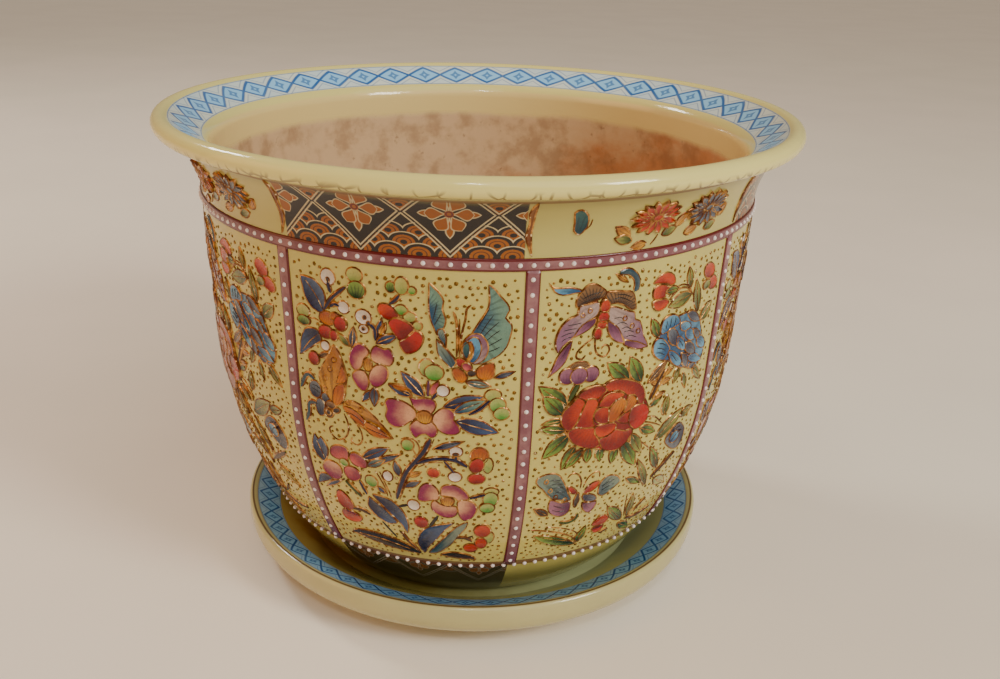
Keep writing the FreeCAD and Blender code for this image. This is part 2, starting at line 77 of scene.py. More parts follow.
# Raised enamel, in millimetres. A shape over another one is lifted by a layer, up to a limit. Its gold rim
# spreads past its corners by a share of the rim's width, and takes at most a share of a narrow shape. Edges
# reach a little into the wall. A shape with a large reach is divided where its edges are long, and crowned.
LAYER_LIFT = 0.22
HIGHEST_LIFT = 0.7
RIM_SPREAD = 0.6
NARROW_RIM = 0.55
EDGE_DEPTH = 0.05
LINE_DEPTH = 0.06
SMALL_CROWN = 0.1
LARGE_CROWN = 0.12
LARGE_REACH = 4.5
LARGEST_REACH = 9
LONG_EDGE = 2.5
BAND_THICKNESS = 0.7

# Widths: of a leaf that gets a midrib, of the midrib, of a stem that gets gold edges, and of both edges.
RIBBED_LEAF = 3.4
RIB_WIDTH = 0.55
EDGED_STEM = 1.3
STEM_EDGES = 1.0

# The strewn ground dots: how often a place is tried, the room kept round the shapes, height and unevenness.
DOT_TRIES = 12000
DOT_ROOM = 1.15
DOT_HEIGHT = 0.34
DOT_UNEVENNESS = 0.35
DOT_SEED = 41

# Lights: place and size in metres, power in watts, colour. All of them look at one point on the pot's axis.
LAMPS = {
    "key": ((1.5, -0.7, 1.15), 0.5, 21, (1.0, 0.96, 0.88)),
    "fill": ((-1.4, -0.8, 0.7), 1.2, 9, (1.0, 0.46, 0.17)),
    "rim": ((-1.3, 0.5, 1.3), 0.3, 9, (1.0, 0.95, 0.9)),
    "spark": ((0.25, -1.3, 1.5), 0.12, 3.5, (1.0, 0.97, 0.92)),
}
LAMP_TARGET = Vector((0, 0, 0.12))
ROOM_LIGHT = 0.85
ROOM_ANGLE = math.radians(60)
ROOM_TURN = (math.radians(28), math.radians(34), 0)
WORLD_LIGHT = 0.33
FLOOR_SIZE = 14


def tint(red, green, blue):
    """A screen colour, 0 to 255 a channel, as the linear colour that a shader wants."""
    def channel(value):
        share = value / 255
        return share / 12.92 if share <= 0.04045 else ((share + 0.055) / 1.055) ** 2.4
    return (channel(red), channel(green), channel(blue), 1.0)


def colour_property(name, description, default):
    return bpy.props.FloatVectorProperty(
        name=name, description=description, subtype="COLOR", size=4, min=0, max=1, default=default)


def length_property(name, description, millimetres):
    return bpy.props.FloatProperty(
        name=name, description=description, unit="LENGTH", min=0, default=millimetres * MM)


class GlazeColours(bpy.types.PropertyGroup):
    """Glazes and bare clay of the pot and the saucer"""
    ground: colour_property("Panel ground", "Yellow-green glaze behind the flowers", tint(198, 186, 100))
    neck: colour_property("Neck ground", "Yellow-green glaze of the plain neck fields", tint(184, 174, 98))
    lip: colour_property("Lip glaze", "Pale cream glaze of the lip and throat", tint(226, 216, 132))
    inside: colour_property("Inner glaze", "Cream glaze just inside the throat", tint(234, 210, 138))
    biscuit: colour_property("Biscuit", "Bare fired clay inside and underneath", tint(208, 176, 132))
    stain: colour_property("Water stain", "Brown mineral stain on the bare clay", tint(186, 106, 34))
    amber: colour_property("Saucer well", "Green-amber glaze pooled in the saucer", tint(112, 104, 50))
    saucer: colour_property("Saucer outside", "Cream glaze of the saucer's side", tint(190, 182, 126))


class OrnamentColours(bpy.types.PropertyGroup):
    """Colours of the painted bands and cartouches, the gold lines, the enamel bands and the beads"""
    sky: colour_property("Lozenge blue", "Light blue filling of the lozenge bands", tint(146, 206, 248))
    ink: colour_property("Lozenge line", "Dark blue line round each lozenge", tint(24, 92, 164))
    pale: colour_property("Lozenge ground", "Pale ground between the lozenges", tint(234, 232, 200))
    black: colour_property("Cartouche black", "Black ground of the neck cartouches", tint(26, 18, 16))
    cream: colour_property("Cartouche line", "Cream lines of the neck cartouches", tint(196, 180, 138))
    orange: colour_property("Cartouche orange", "Orange of the small painted flowers", tint(146, 80, 0))
    gold: colour_property("Gold line", "Brown-gold raised line", tint(98, 50, 14))
    dot: colour_property("Ground dot", "Olive-gold raised dot", tint(104, 76, 10))
    mauve: colour_property("Band mauve", "Mauve enamel of the bands", tint(114, 64, 74))
    maroon: colour_property("Band edge", "Dark red line along the bands", tint(92, 18, 20))
    bead: colour_property("Bead", "White enamel bead", tint(236, 226, 222))


class ReliefSizes(bpy.types.PropertyGroup):
    """Sizes of the raised enamel and of the softened corners"""
    rim_width: length_property("Line width", "Width of the raised gold line round each motif", 0.7)
    rim_height: length_property("Line height", "Height of the raised gold line above the wall", 0.5)
    filling_height: length_property("Filling height", "Height of the coloured enamel above the wall", 0.28)
    dot_radius: length_property("Dot radius", "Radius of a raised ground dot", 0.74)
    dot_spacing: length_property("Dot spacing", "Least distance between two ground dots", 2.55)
    bead_radius: length_property("Bead radius", "Radius of a white bead", 0.95)
    band_width: length_property("Band width", "Width of a vertical enamel band", 5.9)
    corner_softness: length_property("Corner softness", "Rounding of the turned pieces' sharp corners", 0.7)


class CameraView(bpy.types.PropertyGroup):
    """Where the camera stands and how it looks"""
    distance: bpy.props.FloatProperty(
        name="Distance", description="Level distance from the axis", unit="LENGTH", default=0.4835)
    height: bpy.props.FloatProperty(
        name="Height", description="Height above the floor", unit="LENGTH", default=0.3089)
    turn: bpy.props.FloatProperty(
        name="Turn", description="How far round the pot the camera stands", subtype="ANGLE",
        default=math.radians(13.38))
    aside: bpy.props.FloatProperty(
        name="Aside", description="How far the view points to the right of the axis", subtype="ANGLE",
        default=0.0256)
    down: bpy.props.FloatProperty(
        name="Down", description="How far the view points down", subtype="ANGLE", default=0.3958)
    roll: bpy.props.FloatProperty(
        name="Roll", description="Tilt of the picture", subtype="ANGLE", default=0.0303)
    lens: bpy.props.FloatProperty(
        name="Lens", description="Focal length in millimetres on a 36 mm wide sensor", min=1, default=36.13)


def settings(group):
    """The values of one property group."""
    return getattr(bpy.context.scene, group)


class Field:
    """A value that a material works out at each point of a surface, combined by ordinary arithmetic."""

    def __init__(self, tree, socket):
        self.tree = tree
        self.socket = socket

    def math(self, operation, *others):
        return arithmetic(self.tree, operation, self, *others)

    def __add__(self, other):
        return self.math("ADD", other)

    def __sub__(self, other):
        return self.math("SUBTRACT", other)

    def __rsub__(self, other):
        return arithmetic(self.tree, "SUBTRACT", other, self)

    def __mul__(self, other):
        return self.math("MULTIPLY", other)

    def __truediv__(self, other):
        return self.math("DIVIDE", other)

    def __abs__(self):
        return self.math("ABSOLUTE")

    def least(self, other):
        return self.math("MINIMUM", other)

    def most(self, other):
        return self.math("MAXIMUM", other)

    def nearest_whole(self):
        return self.math("ROUND")

    def wave(self):
        return self.math("SINE")

    def under(self, edge, softness=0.12):
        """1 where the field is below the edge, 0 above it, with a soft step between."""
        return self.step(edge, softness, 1, 0)

    def over(self, edge, softness=0.12):
        """1 where the field is above the edge, 0 below it."""
        return self.step(edge, softness, 0, 1)

    def between(self, low, high, softness=0.12):
        """1 where the field lies between the two edges."""
        return self.over(low, softness) * self.under(high, softness)

    def near(self, place, half_width, softness=0.12):
        """1 on a line of that half width along the place where the field has that value."""
        return abs(self - place).under(half_width, softness)

    def step(self, edge, softness, below, above):
        """A soft step at the edge, from one value below it to another above it."""
        node = self.tree.nodes.new("ShaderNodeMapRange")
        node.interpolation_type = "SMOOTHSTEP"
        self.tree.links.new(self.socket, node.inputs["Value"])
        if isinstance(edge, Field):
            self.tree.links.new((edge - softness).socket, node.inputs["From Min"])
            self.tree.links.new((edge + softness).socket, node.inputs["From Max"])
        else:
            node.inputs["From Min"].default_value = edge - softness
            node.inputs["From Max"].default_value = edge + softness
        node.inputs["To Min"].default_value = below
        node.inputs["To Max"].default_value = above
        return Field(self.tree, node.outputs["Result"])


def arithmetic(tree, operation, *values):
    """A math node's result, from fields and plain numbers."""
    node = tree.nodes.new("ShaderNodeMath")
    node.operation = operation
    for slot, value in zip(node.inputs, values):
        if isinstance(value, Field):
            tree.links.new(value.socket, slot)
        else:
            slot.default_value = value
    return Field(tree, node.outputs[0])


class Paint:
    """A material under construction, painted layer over layer."""

    def __init__(self, name):
        self.material = bpy.data.materials.new(name)
        self.material.use_nodes = True
        self.tree = self.material.node_tree
        self.shader = self.tree.nodes["Principled BSDF"]
        self.colour = None
        self.roughness = None

    def node(self, kind, **values):
        """A new node, its sockets set by name."""
        made = self.tree.nodes.new(kind)
        for name, value in values.items():
            made.inputs[name.replace("_", " ").title()].default_value = value
        return made

    def field(self, socket):
        return Field(self.tree, socket)

    def connect(self, value, slot):
        """Gives a slot its value: a field, a socket, a number or a colour."""
        if isinstance(value, Field):
            value = value.socket
        if isinstance(value, bpy.types.NodeSocket):
            self.tree.links.new(value, slot)
        else:
            slot.default_value = tuple(value) if hasattr(value, "__len__") else value

    def place(self):
        """The point's own coordinates in millimetres: across, deep, up, radius and turn from the front."""
        if not hasattr(self, "coordinates"):
            source = self.tree.nodes.new("ShaderNodeTexCoord")
            split = self.tree.nodes.new("ShaderNodeSeparateXYZ")
            self.tree.links.new(source.outputs["Object"], split.inputs[0])
            across, deep, up = (self.field(socket) / MM for socket in split.outputs)
            radius = (across * across + deep * deep).math("SQRT")
            turn = across.math("ARCTAN2", deep * -1)
            self.coordinates = across, deep, up, radius, turn
        return self.coordinates

    def attribute(self, name):
        """What the piece's mesh holds under that name at each point."""
        made = self.tree.nodes.new("ShaderNodeAttribute")
        made.attribute_name = name
        return made

    def texture(self, kind, stretch, **values):
        """A texture node over the point's own coordinates, stretched along them."""
        source = self.tree.nodes.new("ShaderNodeTexCoord")
        stretched = self.node("ShaderNodeMapping", scale=stretch)
        made = self.node(kind, **values)
        self.tree.links.new(source.outputs["Object"], stretched.inputs["Vector"])
        self.tree.links.new(stretched.outputs[0], made.inputs["Vector"])
        return made

    def noise(self, scale, detail=2.0, roughness=0.5, stretch=(1, 1, 1)):
        """Soft random variation from 0 to 1, with features about 1/scale metres across."""
        made = self.texture("ShaderNodeTexNoise", stretch, scale=scale, detail=detail, roughness=roughness)
        return self.field(made.outputs["Fac"])

    def cells(self, scale, stretch):
        """How far each point is from the edge of its random cell, about 1/scale metres across."""
        made = self.texture("ShaderNodeTexVoronoi", stretch, scale=scale)
        made.feature = "DISTANCE_TO_EDGE"
        return self.field(made.outputs["Distance"])

    def blend(self, under, over, amount, way="MIX"):
        """A colour mixed from two, each a colour or a socket, by a field from 0 to 1."""
        made = self.tree.nodes.new("ShaderNodeMix")
        made.data_type = "RGBA"
        made.blend_type = way
        for value, slot in ((amount, made.inputs["Factor"]), (under, made.inputs[6]), (over, made.inputs[7])):
            self.connect(value, slot)
        return made.outputs[2]

    def coat(self, colour, amount=None, roughness=None):
        """Lays a colour over what is painted so far, where the amount says."""
        self.colour = colour if amount is None else self.blend(self.colour, colour, amount)
        if roughness is not None:
            self.roughness = roughness if amount is None else self.level(self.roughness, roughness, amount)

    def level(self, under, over, amount):
        """A number mixed from two, each a number or a field, by a field from 0 to 1."""
        if not isinstance(under, Field) and not isinstance(over, Field):
            return amount * (over - under) + under
        return under * (1 - amount) + amount * over

    def shade(self, amount, strength):
        """Darkens what is painted so far by a field from 0 to 1."""
        self.colour = self.blend(self.colour, BLACK, amount * strength, "MULTIPLY")

    def bump(self, height, distance):
        """Lets a field from 0 to 1 raise the surface by up to a distance in millimetres."""
        made = self.node("ShaderNodeBump", distance=distance * MM, strength=1.0)
        self.tree.links.new(height.socket, made.inputs["Height"])
        self.tree.links.new(made.outputs[0], self.shader.inputs["Normal"])

    def finish(self):
        """Joins what is painted to the shader and gives the material."""
        self.connect(self.colour, self.shader.inputs["Base Color"])
        if self.roughness is not None:
            self.connect(self.roughness, self.shader.inputs["Roughness"])
        return self.material


def cut_outline(node):
    """A turned node's outline on one side of its axis, as (radius, height) points in order from the axis."""
    half = bmesh.new()
    half.from_mesh(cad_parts[node].data)
    bmesh.ops.remove_doubles(half, verts=half.verts, dist=SAME_POINT)
    for normal, both in (((0, 1, 0), True), ((1, 0, 0), False)):
        bmesh.ops.bisect_plane(
            half, geom=half.verts[:] + half.edges[:] + half.faces[:], dist=1e-7, plane_co=(0, 0, 0),
            plane_no=normal, clear_inner=True, clear_outer=both)
    start = min(half.verts, key=lambda vert: (round(vert.co.x, 5), vert.co.z))
    ways = [edge.other_vert(start) for edge in start.link_edges]
    step = min(ways, key=lambda vert: vert.co.z)
    chain = [start, step]
    while True:
        onward = [edge.other_vert(step) for edge in step.link_edges if edge.other_vert(step) is not chain[-2]]
        if not onward or onward[0] is start:
            break
        step = onward[0]
        chain.append(step)
    points = [Vector((vert.co.x, vert.co.z)) for vert in chain]
    half.free()
    kept = [points[0]]
    for here, there in zip(points[1:], points[2:]):
        before = here - kept[-1]
        if before.length > NO_LENGTH and before.angle(there - here, 0) > NO_CORNER:
            kept.append(here)
    return [*kept, points[-1]]


def lengths_along(points):
    """How far along the outline each of its points lies."""
    totals = [0.0]
    for here, there in zip(points, points[1:]):
        totals.append(totals[-1] + (there - here).length)
    return totals


def nearest_length(points, totals, spot):
    """How far along the outline the point nearest to a spot lies."""
    best = None
    for index in range(len(points) - 1):
        here, there = points[index], points[index + 1]
        share = min(max(intersect_point_line(spot, here, there)[1], 0), 1)
        gap = (here.lerp(there, share) - spot).length
        if best is None or gap < best[0]:
            best = (gap, totals[index] + share * (totals[index + 1] - totals[index]))
    return best[1]


def turned_piece(name, outline, closed):
    """A piece turned from an outline, corners softened, with the attribute along: millimetres along it."""
    turned = bmesh.new()
    chain = [turned.verts.new((point.x, 0, point.y)) for point in outline]
    pairs = list(zip(chain, chain[1:])) + ([(chain[-1], chain[0])] if closed else [])
    edges = [turned.edges.new(pair) for pair in pairs]
    bmesh.ops.spin(turned, geom=chain + edges, cent=(0, 0, 0), axis=(0, 0, 1), dvec=(0, 0, 0),
                   angle=math.tau, steps=ROUND_STEPS, use_merge=True, use_duplicate=False)
    bmesh.ops.remove_doubles(turned, verts=turned.verts, dist=2 * SAME_POINT)
    bmesh.ops.recalc_face_normals(turned, faces=turned.faces)
    sharp = [edge for edge in turned.edges if edge.is_manifold and edge.calc_face_angle() > SHARP_CORNER]
    softness = settings("planter_relief").corner_softness
    bmesh.ops.bevel(turned, geom=sharp, offset=softness, offset_type="OFFSET", segments=3, profile=0.5,
                    affect="EDGES", material=-1, clamp_overlap=True)
    totals = lengths_along(outline)
    along = turned.verts.layers.float.new("along")
    known = {}
    for vert in turned.verts:
        spot = (round(math.hypot(vert.co.x, vert.co.y), 6), round(vert.co.z, 6))
        if spot not in known:
            known[spot] = nearest_length(outline, totals, Vector(spot)) / MM
        vert[along] = known[spot]
    return finished(name, turned)


def finished(name, shape):
    """Makes the object of a finished mesh, at the origin."""
    mesh = bpy.data.meshes.new(name)
    for face in shape.faces:
        face.smooth = True
    shape.to_mesh(mesh)
    shape.free()
    made = bpy.data.objects.new(name, mesh)
    bpy.context.scene.collection.objects.link(made)
    return made


class Wall:
    """The pot's outside as a sheet: hundredths of a panel across, millimetres up from the low line."""

    def __init__(self, outline):
        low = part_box("panel_band_1")[0].z
        widest = max(range(len(outline)), key=lambda index: outline[index].x)
        start = min(range(widest), key=lambda index: (outline[index] - Vector(WALL_START) * MM).length)
        self.points = outline[start:widest]
        totals = lengths_along(self.points)
        zero = min(range(len(self.points)), key=lambda index: abs(self.points[index].y - low))
        self.before = lengths_along(outline)[start] / MM + totals[zero] / MM
        self.ups = [(total - totals[zero]) / MM for total in totals]
        legs = [(there - here).normalized() for here, there in zip(self.points, self.points[1:])]
        pairs = zip(legs[:1] + legs, legs + legs[-1:])
        bisectors = [(first + second).normalized() for first, second in pairs]
        self.normals = [Vector((way.y, -way.x)) for way in bisectors]

    def place(self, across, up, lift, centre):
        """The point at a place on the wall, lifted off it, with the sheet's middle turned to centre."""
        index = 0
        while index < len(self.ups) - 2 and self.ups[index + 1] < up:
            index += 1
        share = (up - self.ups[index]) / (self.ups[index + 1] - self.ups[index])
        spot = self.points[index].lerp(self.points[index + 1], share)
        outward = self.normals[index].lerp(self.normals[index + 1], min(max(share, 0), 1)).normalized()
        spot = spot + outward * lift * MM
        turn = centre + across / 100 * PANEL_TURN
        return Vector((spot.x * math.sin(turn), -spot.x * math.cos(turn), spot.y))

    def up_at(self, height):
        """Millimetres up the wall at a height above the floor, for heights from the foot to the lip."""
        for index in range(len(self.points) - 1):
            here, there = self.points[index], self.points[index + 1]
            if here.y <= height <= there.y:
                share = (height - here.y) / (there.y - here.y)
                return self.ups[index] + share * (self.ups[index + 1] - self.ups[index])
        return self.ups[-1]


def smooth_path(points, steps, closed=False):
    """Points on a smooth curve through the given ones."""
    count = len(points)
    path = []
    for span in range(count if closed else count - 1):
        places = [span + offset for offset in (-1, 0, 1, 2)]
        places = [place % count if closed else min(max(place, 0), count - 1) for place in places]
        before, here, there, after = (Vector(points[place]) for place in places)
        for step in range(steps):
            share = step / steps
            path.append(
                0.5 * (2 * here + (there - before) * share
                       + (2 * before - 5 * here + 4 * there - after) * share ** 2
                       + (3 * here - before - 3 * there + after) * share ** 3))
    return path if closed else [*path, Vector(points[-1])]


def sides(corners):
    """Each corner with the next one, all the way round."""
    return zip(corners, corners[1:] + corners[:1])


def is_inside(spot, corners):
    """Whether a flat spot lies inside closed corners, by the sides that a line from it crosses."""
    inside = False
    for here, there in sides(corners):
        if (here[1] > spot[1]) != (there[1] > spot[1]):
            crossing = here[0] + (spot[1] - here[1]) / (there[1] - here[1]) * (there[0] - here[0])
            if spot[0] < crossing:
                inside = not inside
    return inside


def face_up(faces):
    """Turns flat-laid faces to look up."""
    for face in faces:
        face.normal_update()
        if face.normal.z < 0:
            face.normal_flip()


ENAMEL, GOLD, DOT, STEM = range(4)


class Relief:
    """Raised shapes laid out flat, in hundredths of a panel across and millimetres up and out."""

    def __init__(self):
        self.shape = bmesh.new()
        layers = self.shape.verts.layers
        self.root = layers.float_color.new("root")
        self.tip = layers.float_color.new("tip")
        self.grain = layers.float_vector.new("grain")
        self.veins = layers.float.new("veins")
        self.fillings = []
        self.marks = []

    def filling(self, corners, look, start, end):
        """An enamel shape inside closed corners, coloured from a start to an end, in a raised gold rim."""
        sizes = settings("planter_relief")
        rim_width = sizes.rim_width / MM
        flat = self.shape
        if sum(here[0] * there[1] - there[0] * here[1] for here, there in sides(corners)) < 0:
            corners = corners[::-1]
        middle = sum((Vector(corner) for corner in corners), Vector((0, 0))) / len(corners)
        spread = rim_width * RIM_SPREAD
        ways = [(Vector(corner) - middle).normalized() for corner in corners]
        corners = [tuple(Vector(corner) + way * spread) for corner, way in zip(corners, ways)]
        lift = 0.0
        for other, height in self.fillings:
            if is_inside(middle, other) or sum(is_inside(corner, corners) for corner in other) > 2:
                lift = max(lift, min(height + LAYER_LIFT, HIGHEST_LIFT))
        self.fillings.append((corners, lift))
        self.marks += corners
        reaches = [(Vector(corner) - middle).length for corner in corners]
        rim = min(rim_width, NARROW_RIM * min(reaches))
        count = len(flat.verts)
        made = bmesh.ops.create_circle(flat, cap_ends=True, segments=len(corners), radius=1)["verts"]
        made.sort(key=lambda vert: math.atan2(vert.co.y, vert.co.x))
        turn = next(index for index, vert in enumerate(made) if vert.co.y >= -1e-6)
        for vert, corner in zip(made[turn:] + made[:turn], corners):
            vert.co = (*corner, -EDGE_DEPTH)
        face = made[0].link_faces[0]
        face_up([face])
        for height in (sizes.rim_height, sizes.filling_height):
            bands = bmesh.ops.inset_individual(
                flat, faces=[face], thickness=rim / 2, depth=0, use_even_offset=False)["faces"]
            for band in bands:
                band.material_index = GOLD
            for vert in face.verts:
                vert.co.z = height / MM + lift
        face.material_index = ENAMEL
        if max(reaches) > LARGE_REACH:
            self.refine(face, max(reaches))
        else:
            bmesh.ops.poke(flat, faces=[face], offset=SMALL_CROWN)
        self.tag(count, look, start, end, VEINS[look])

    def refine(self, face, reach):
        """Divides a large filling, so that it can follow the wall and crown a little."""
        flat = self.shape
        parts = bmesh.ops.triangulate(flat, faces=[face])["faces"]
        for _ in range(2 if reach > LARGEST_REACH else 1):
            inner = [edge for edge in {edge for part in parts for edge in part.edges}
                     if len(edge.link_faces) == 2 and all(other in parts for other in edge.link_faces)
                     and edge.calc_length() > LONG_EDGE]
            if not inner:
                return
            split = bmesh.ops.subdivide_edges(flat, edges=inner, cuts=1)
            known = set(parts) | {item for item in split["geom"] if isinstance(item, bmesh.types.BMFace)}
            parts = [part for part in flat.faces if part.material_index == ENAMEL and part in known]
            parts = bmesh.ops.triangulate(flat, faces=parts)["faces"]
        for vert in {vert for part in parts for vert in part.verts}:
            if all(other in parts for other in vert.link_faces):
                vert.co.z += LARGE_CROWN

    def tag(self, count, look, start, end, veins):
        """Writes each new point's colours and its place along and beside the way from start to end."""
        colours = settings("planter_enamel")
        root, tip = getattr(colours, look + "_root"), getattr(colours, look + "_tip")
        axis = Vector(end) - Vector(start)
        length = max(axis.length, 0.01)
        along = axis / length
        beside = Vector((-along.y, along.x))
        for vert in list(self.shape.verts)[count:]:
            vert[self.root] = root
            vert[self.tip] = tip
            offset = vert.co.xy - Vector(start)
            vert[self.grain] = Vector((offset.dot(along) / length, offset.dot(beside) / length, 0))
            vert[self.veins] = veins

    def leaf(self, look, base, tip, width, rib=True):
        """A pointed leaf from base to tip; a wide one may have a raised midrib."""
        base, tip = Vector(base), Vector(tip)
        axis = tip - base
        beside = Vector((-axis.y, axis.x)).normalized()

        def spot(share, side):
            half = width / 2 * math.sin(math.pi * share ** 0.85) ** 0.8 if 0 < share < 1 else 0
            return base + axis * share + beside * side * half

        shares = (0.06, 0.2, 0.38, 0.56, 0.74, 0.9)
        left = [spot(share, 1) for share in shares]
        right = [spot(share, -1) for share in reversed(shares)]
        self.filling([tuple(point) for point in [base, *left, tip, *right]], look, base, tip)
        if rib and width > RIBBED_LEAF:
            self.stroke("rib", RIB_WIDTH, *(spot(share, 0) for share in (0.05, 0.35, 0.65, 0.86)))

    def oval(self, look, centre, across, up, turn=0.0):
        """A round berry, bud or petal, by its half widths and its turn in degrees."""
        centre, angle = Vector(centre), math.radians(turn)
        way, side = Vector((math.cos(angle), math.sin(angle))), Vector((-math.sin(angle), math.cos(angle)))
        count = 14 if max(across, up) > 3 else 12
        corners = []
        for index in range(count):
            around = math.tau * index / count
            corners.append(tuple(centre + way * across * math.cos(around) + side * up * math.sin(around)))
        self.filling(corners, look, centre - side * up, centre + side * up)

    def outline(self, look, start, end, *corners):
        """A free outline through given corners, coloured from start to end."""
        self.filling([tuple(point) for point in smooth_path(corners, 2, closed=True)], look, start, end)

    def stem(self, look, width, *points):
        """A stroke; a coloured one wide enough for it has a gold line along both sides."""
        if look not in ("gold", "dark") and width > EDGED_STEM:
            self.stroke("gold", width + STEM_EDGES, *points)
            self.stroke(look, width, *points, lift=LAYER_LIFT)
        else:
            self.stroke(look, width, *points)

    def stroke(self, look, width, *points, lift=None):
        """A raised line through the points, tapered at both ends, over whatever lies under its middle."""
        path = smooth_path(points, 4)
        last = len(path) - 1
        metal = look in ("rib", "gold")
        height = 0.3 if look == "rib" else 0.16 + 0.3 * min(width, 1.6)
        if lift is None:
            under = [top for corners, top in self.fillings if is_inside(path[len(path) // 2], corners)]
            lift = max(under) + LAYER_LIFT if under else 0.0
        count = len(self.shape.verts)
        made = bmesh.ops.create_grid(self.shape, x_segments=last, y_segments=4, size=1)["verts"]
        for vert in made:
            share = (vert.co.x + 1) / 2 * last
            index = min(int(share + 1e-4), last - 1)
            here, there = path[index], path[index + 1]
            way = (there - here).normalized()
            taper = min(1, 0.45 + 0.55 * min(share, last - share) / 2)
            side = Vector((-way.y, way.x)) * (vert.co.y * width / 2 * taper)
            rise = lift - LINE_DEPTH + height * (1 - vert.co.y ** 2)
            vert.co = (*(here.lerp(there, share - index) + side), rise)
        faces = {face for vert in made for face in vert.link_faces}
        face_up(faces)
        for face in faces:
            face.material_index = GOLD if metal else STEM
        self.tag(count, "navy" if metal else look, path[0], path[-1], 0.0)
        self.marks += [tuple(point) for point in path]

    def dots(self, seed, low, high, half_width):
        """Raised dots strewn over the free ground between the shapes, none near a shape or another dot."""
        sizes = settings("planter_relief")
        chance = random.Random(seed)
        tree = KDTree(len(self.marks))
        for index, mark in enumerate(self.marks):
            tree.insert((*mark, 0), index)
        tree.balance()
        spacing = sizes.dot_spacing / MM
        taken = {}
        chosen = []
        for _ in range(DOT_TRIES):
            spot = (chance.uniform(-half_width, half_width), chance.uniform(low, high))
            cell = (int(spot[0] // spacing), int(spot[1] // spacing))
            close = [other for column in (-1, 0, 1) for row in (-1, 0, 1)
                     for other in taken.get((cell[0] + column, cell[1] + row), ())]
            if any(math.dist(spot, other) < spacing for other in close):
                continue
            if tree.find((*spot, 0))[2] < DOT_ROOM:
                continue
            if any(is_inside(spot, corners) for corners, _ in self.fillings):
                continue
            taken.setdefault(cell, []).append(spot)
            chosen.append(spot)
        return scattered_domes(chosen, chance, sizes.dot_radius / MM)


def scattered_domes(spots, chance, radius):
    """Flat-laid low domes, one on each spot, doubled up from a single one."""
    domes = bmesh.new()
    bmesh.ops.create_icosphere(domes, subdivisions=1, radius=1)
    each = len(domes.verts)
    while len(domes.verts) < each * len(spots):
        bmesh.ops.duplicate(domes, geom=domes.verts[:] + domes.edges[:] + domes.faces[:])
    domes.verts.ensure_lookup_table()
    spare = domes.verts[each * len(spots):]
    for index, spot in enumerate(spots):
        wide = radius * (1 + DOT_UNEVENNESS * chance.uniform(-1, 1))
        long = wide * (1 + 0.5 * DOT_UNEVENNESS * chance.uniform(-1, 1))
        for vert in domes.verts[index * each:(index + 1) * each]:
            vert.co = (spot[0] + vert.co.x * wide, spot[1] + vert.co.y * long, vert.co.z * DOT_HEIGHT)
    bmesh.ops.delete(domes, geom=spare, context="VERTS")
    for face in domes.faces:
        face.material_index = DOT
    return domes


def roll(flat, wall, centre):
    """Wraps a flat layout round the pot's wall, with its middle turned to centre."""
    for vert in flat.verts:
        vert.co = wall.place(vert.co.x, vert.co.y, vert.co.z, centre)


# Each raised enamel: screen colour at a shape's root, screen colour at its tip, strength of its veins.
ENAMELS = {
    "navy": ((0, 6, 54), (48, 72, 110), 0.35),
    "slate": ((24, 30, 62), (84, 92, 104), 0.5),
    "leaf": ((2, 46, 4), (112, 140, 50), 0.55),
    "olive": ((51, 67, 12), (136, 136, 58), 0.35),
    "bud": ((62, 125, 38), (156, 168, 87), 0.0),
    "pale": ((127, 140, 69), (175, 170, 87), 0.0),
    "pink": ((208, 152, 112), (122, 0, 66), 0.0),
    "rose": ((196, 92, 86), (124, 8, 54), 0.1),
    "red": ((104, 0, 0), (168, 16, 0), 0.0),
    "scarlet": ((126, 6, 0), (184, 54, 4), 0.0),
    "orange": ((186, 104, 0), (150, 66, 0), 0.3),
    "peony": ((170, 44, 4), (116, 4, 0), 0.2),
    "berry": ((221, 209, 196), (196, 184, 166), 0.0),
    "blue": ((6, 62, 92), (100, 134, 116), 0.4),
    "steel": ((45, 73, 85), (110, 125, 110), 0.5),
    "azure": ((8, 72, 116), (86, 142, 172), 0.4),
    "lilac": ((163, 138, 129), (125, 83, 108), 0.3),
    "plum": ((84, 26, 66), (140, 86, 108), 0.2),
    "brown": ((67, 38, 18), (127, 89, 49), 0.8),
    "tan": ((198, 140, 40), (154, 92, 8), 0.5),
    "dark": ((18, 10, 10), (58, 38, 32), 0.0),
    "gold": ((106, 54, 19), (129, 77, 27), 0.0),
    "teal": ((3, 54, 65), (40, 89, 89), 0.4),
}
VEINS = {look: veins for look, (_, _, veins) in ENAMELS.items()}


class EnamelColours(bpy.types.PropertyGroup):
    """The two colours of each raised enamel, at a shape's root and at its tip."""
    __annotations__ = {
        f"{look}_{part}": colour_property(
            f"{look.title()} {part}", f"Colour of the {look} enamel at a shape's {part}",
            tint(*shades[index]))
        for look, shades in ENAMELS.items() for index, part in enumerate(("root", "tip"))}


class ShadedFootTones:
    """Darker copies of the cartouche colours for the foot's cartouche: painted shade low on the pot."""
    black = tint(34, 24, 18)
    cream = tint(112, 104, 92)
    orange = tint(96, 52, 24)
    maroon = tint(70, 30, 20)


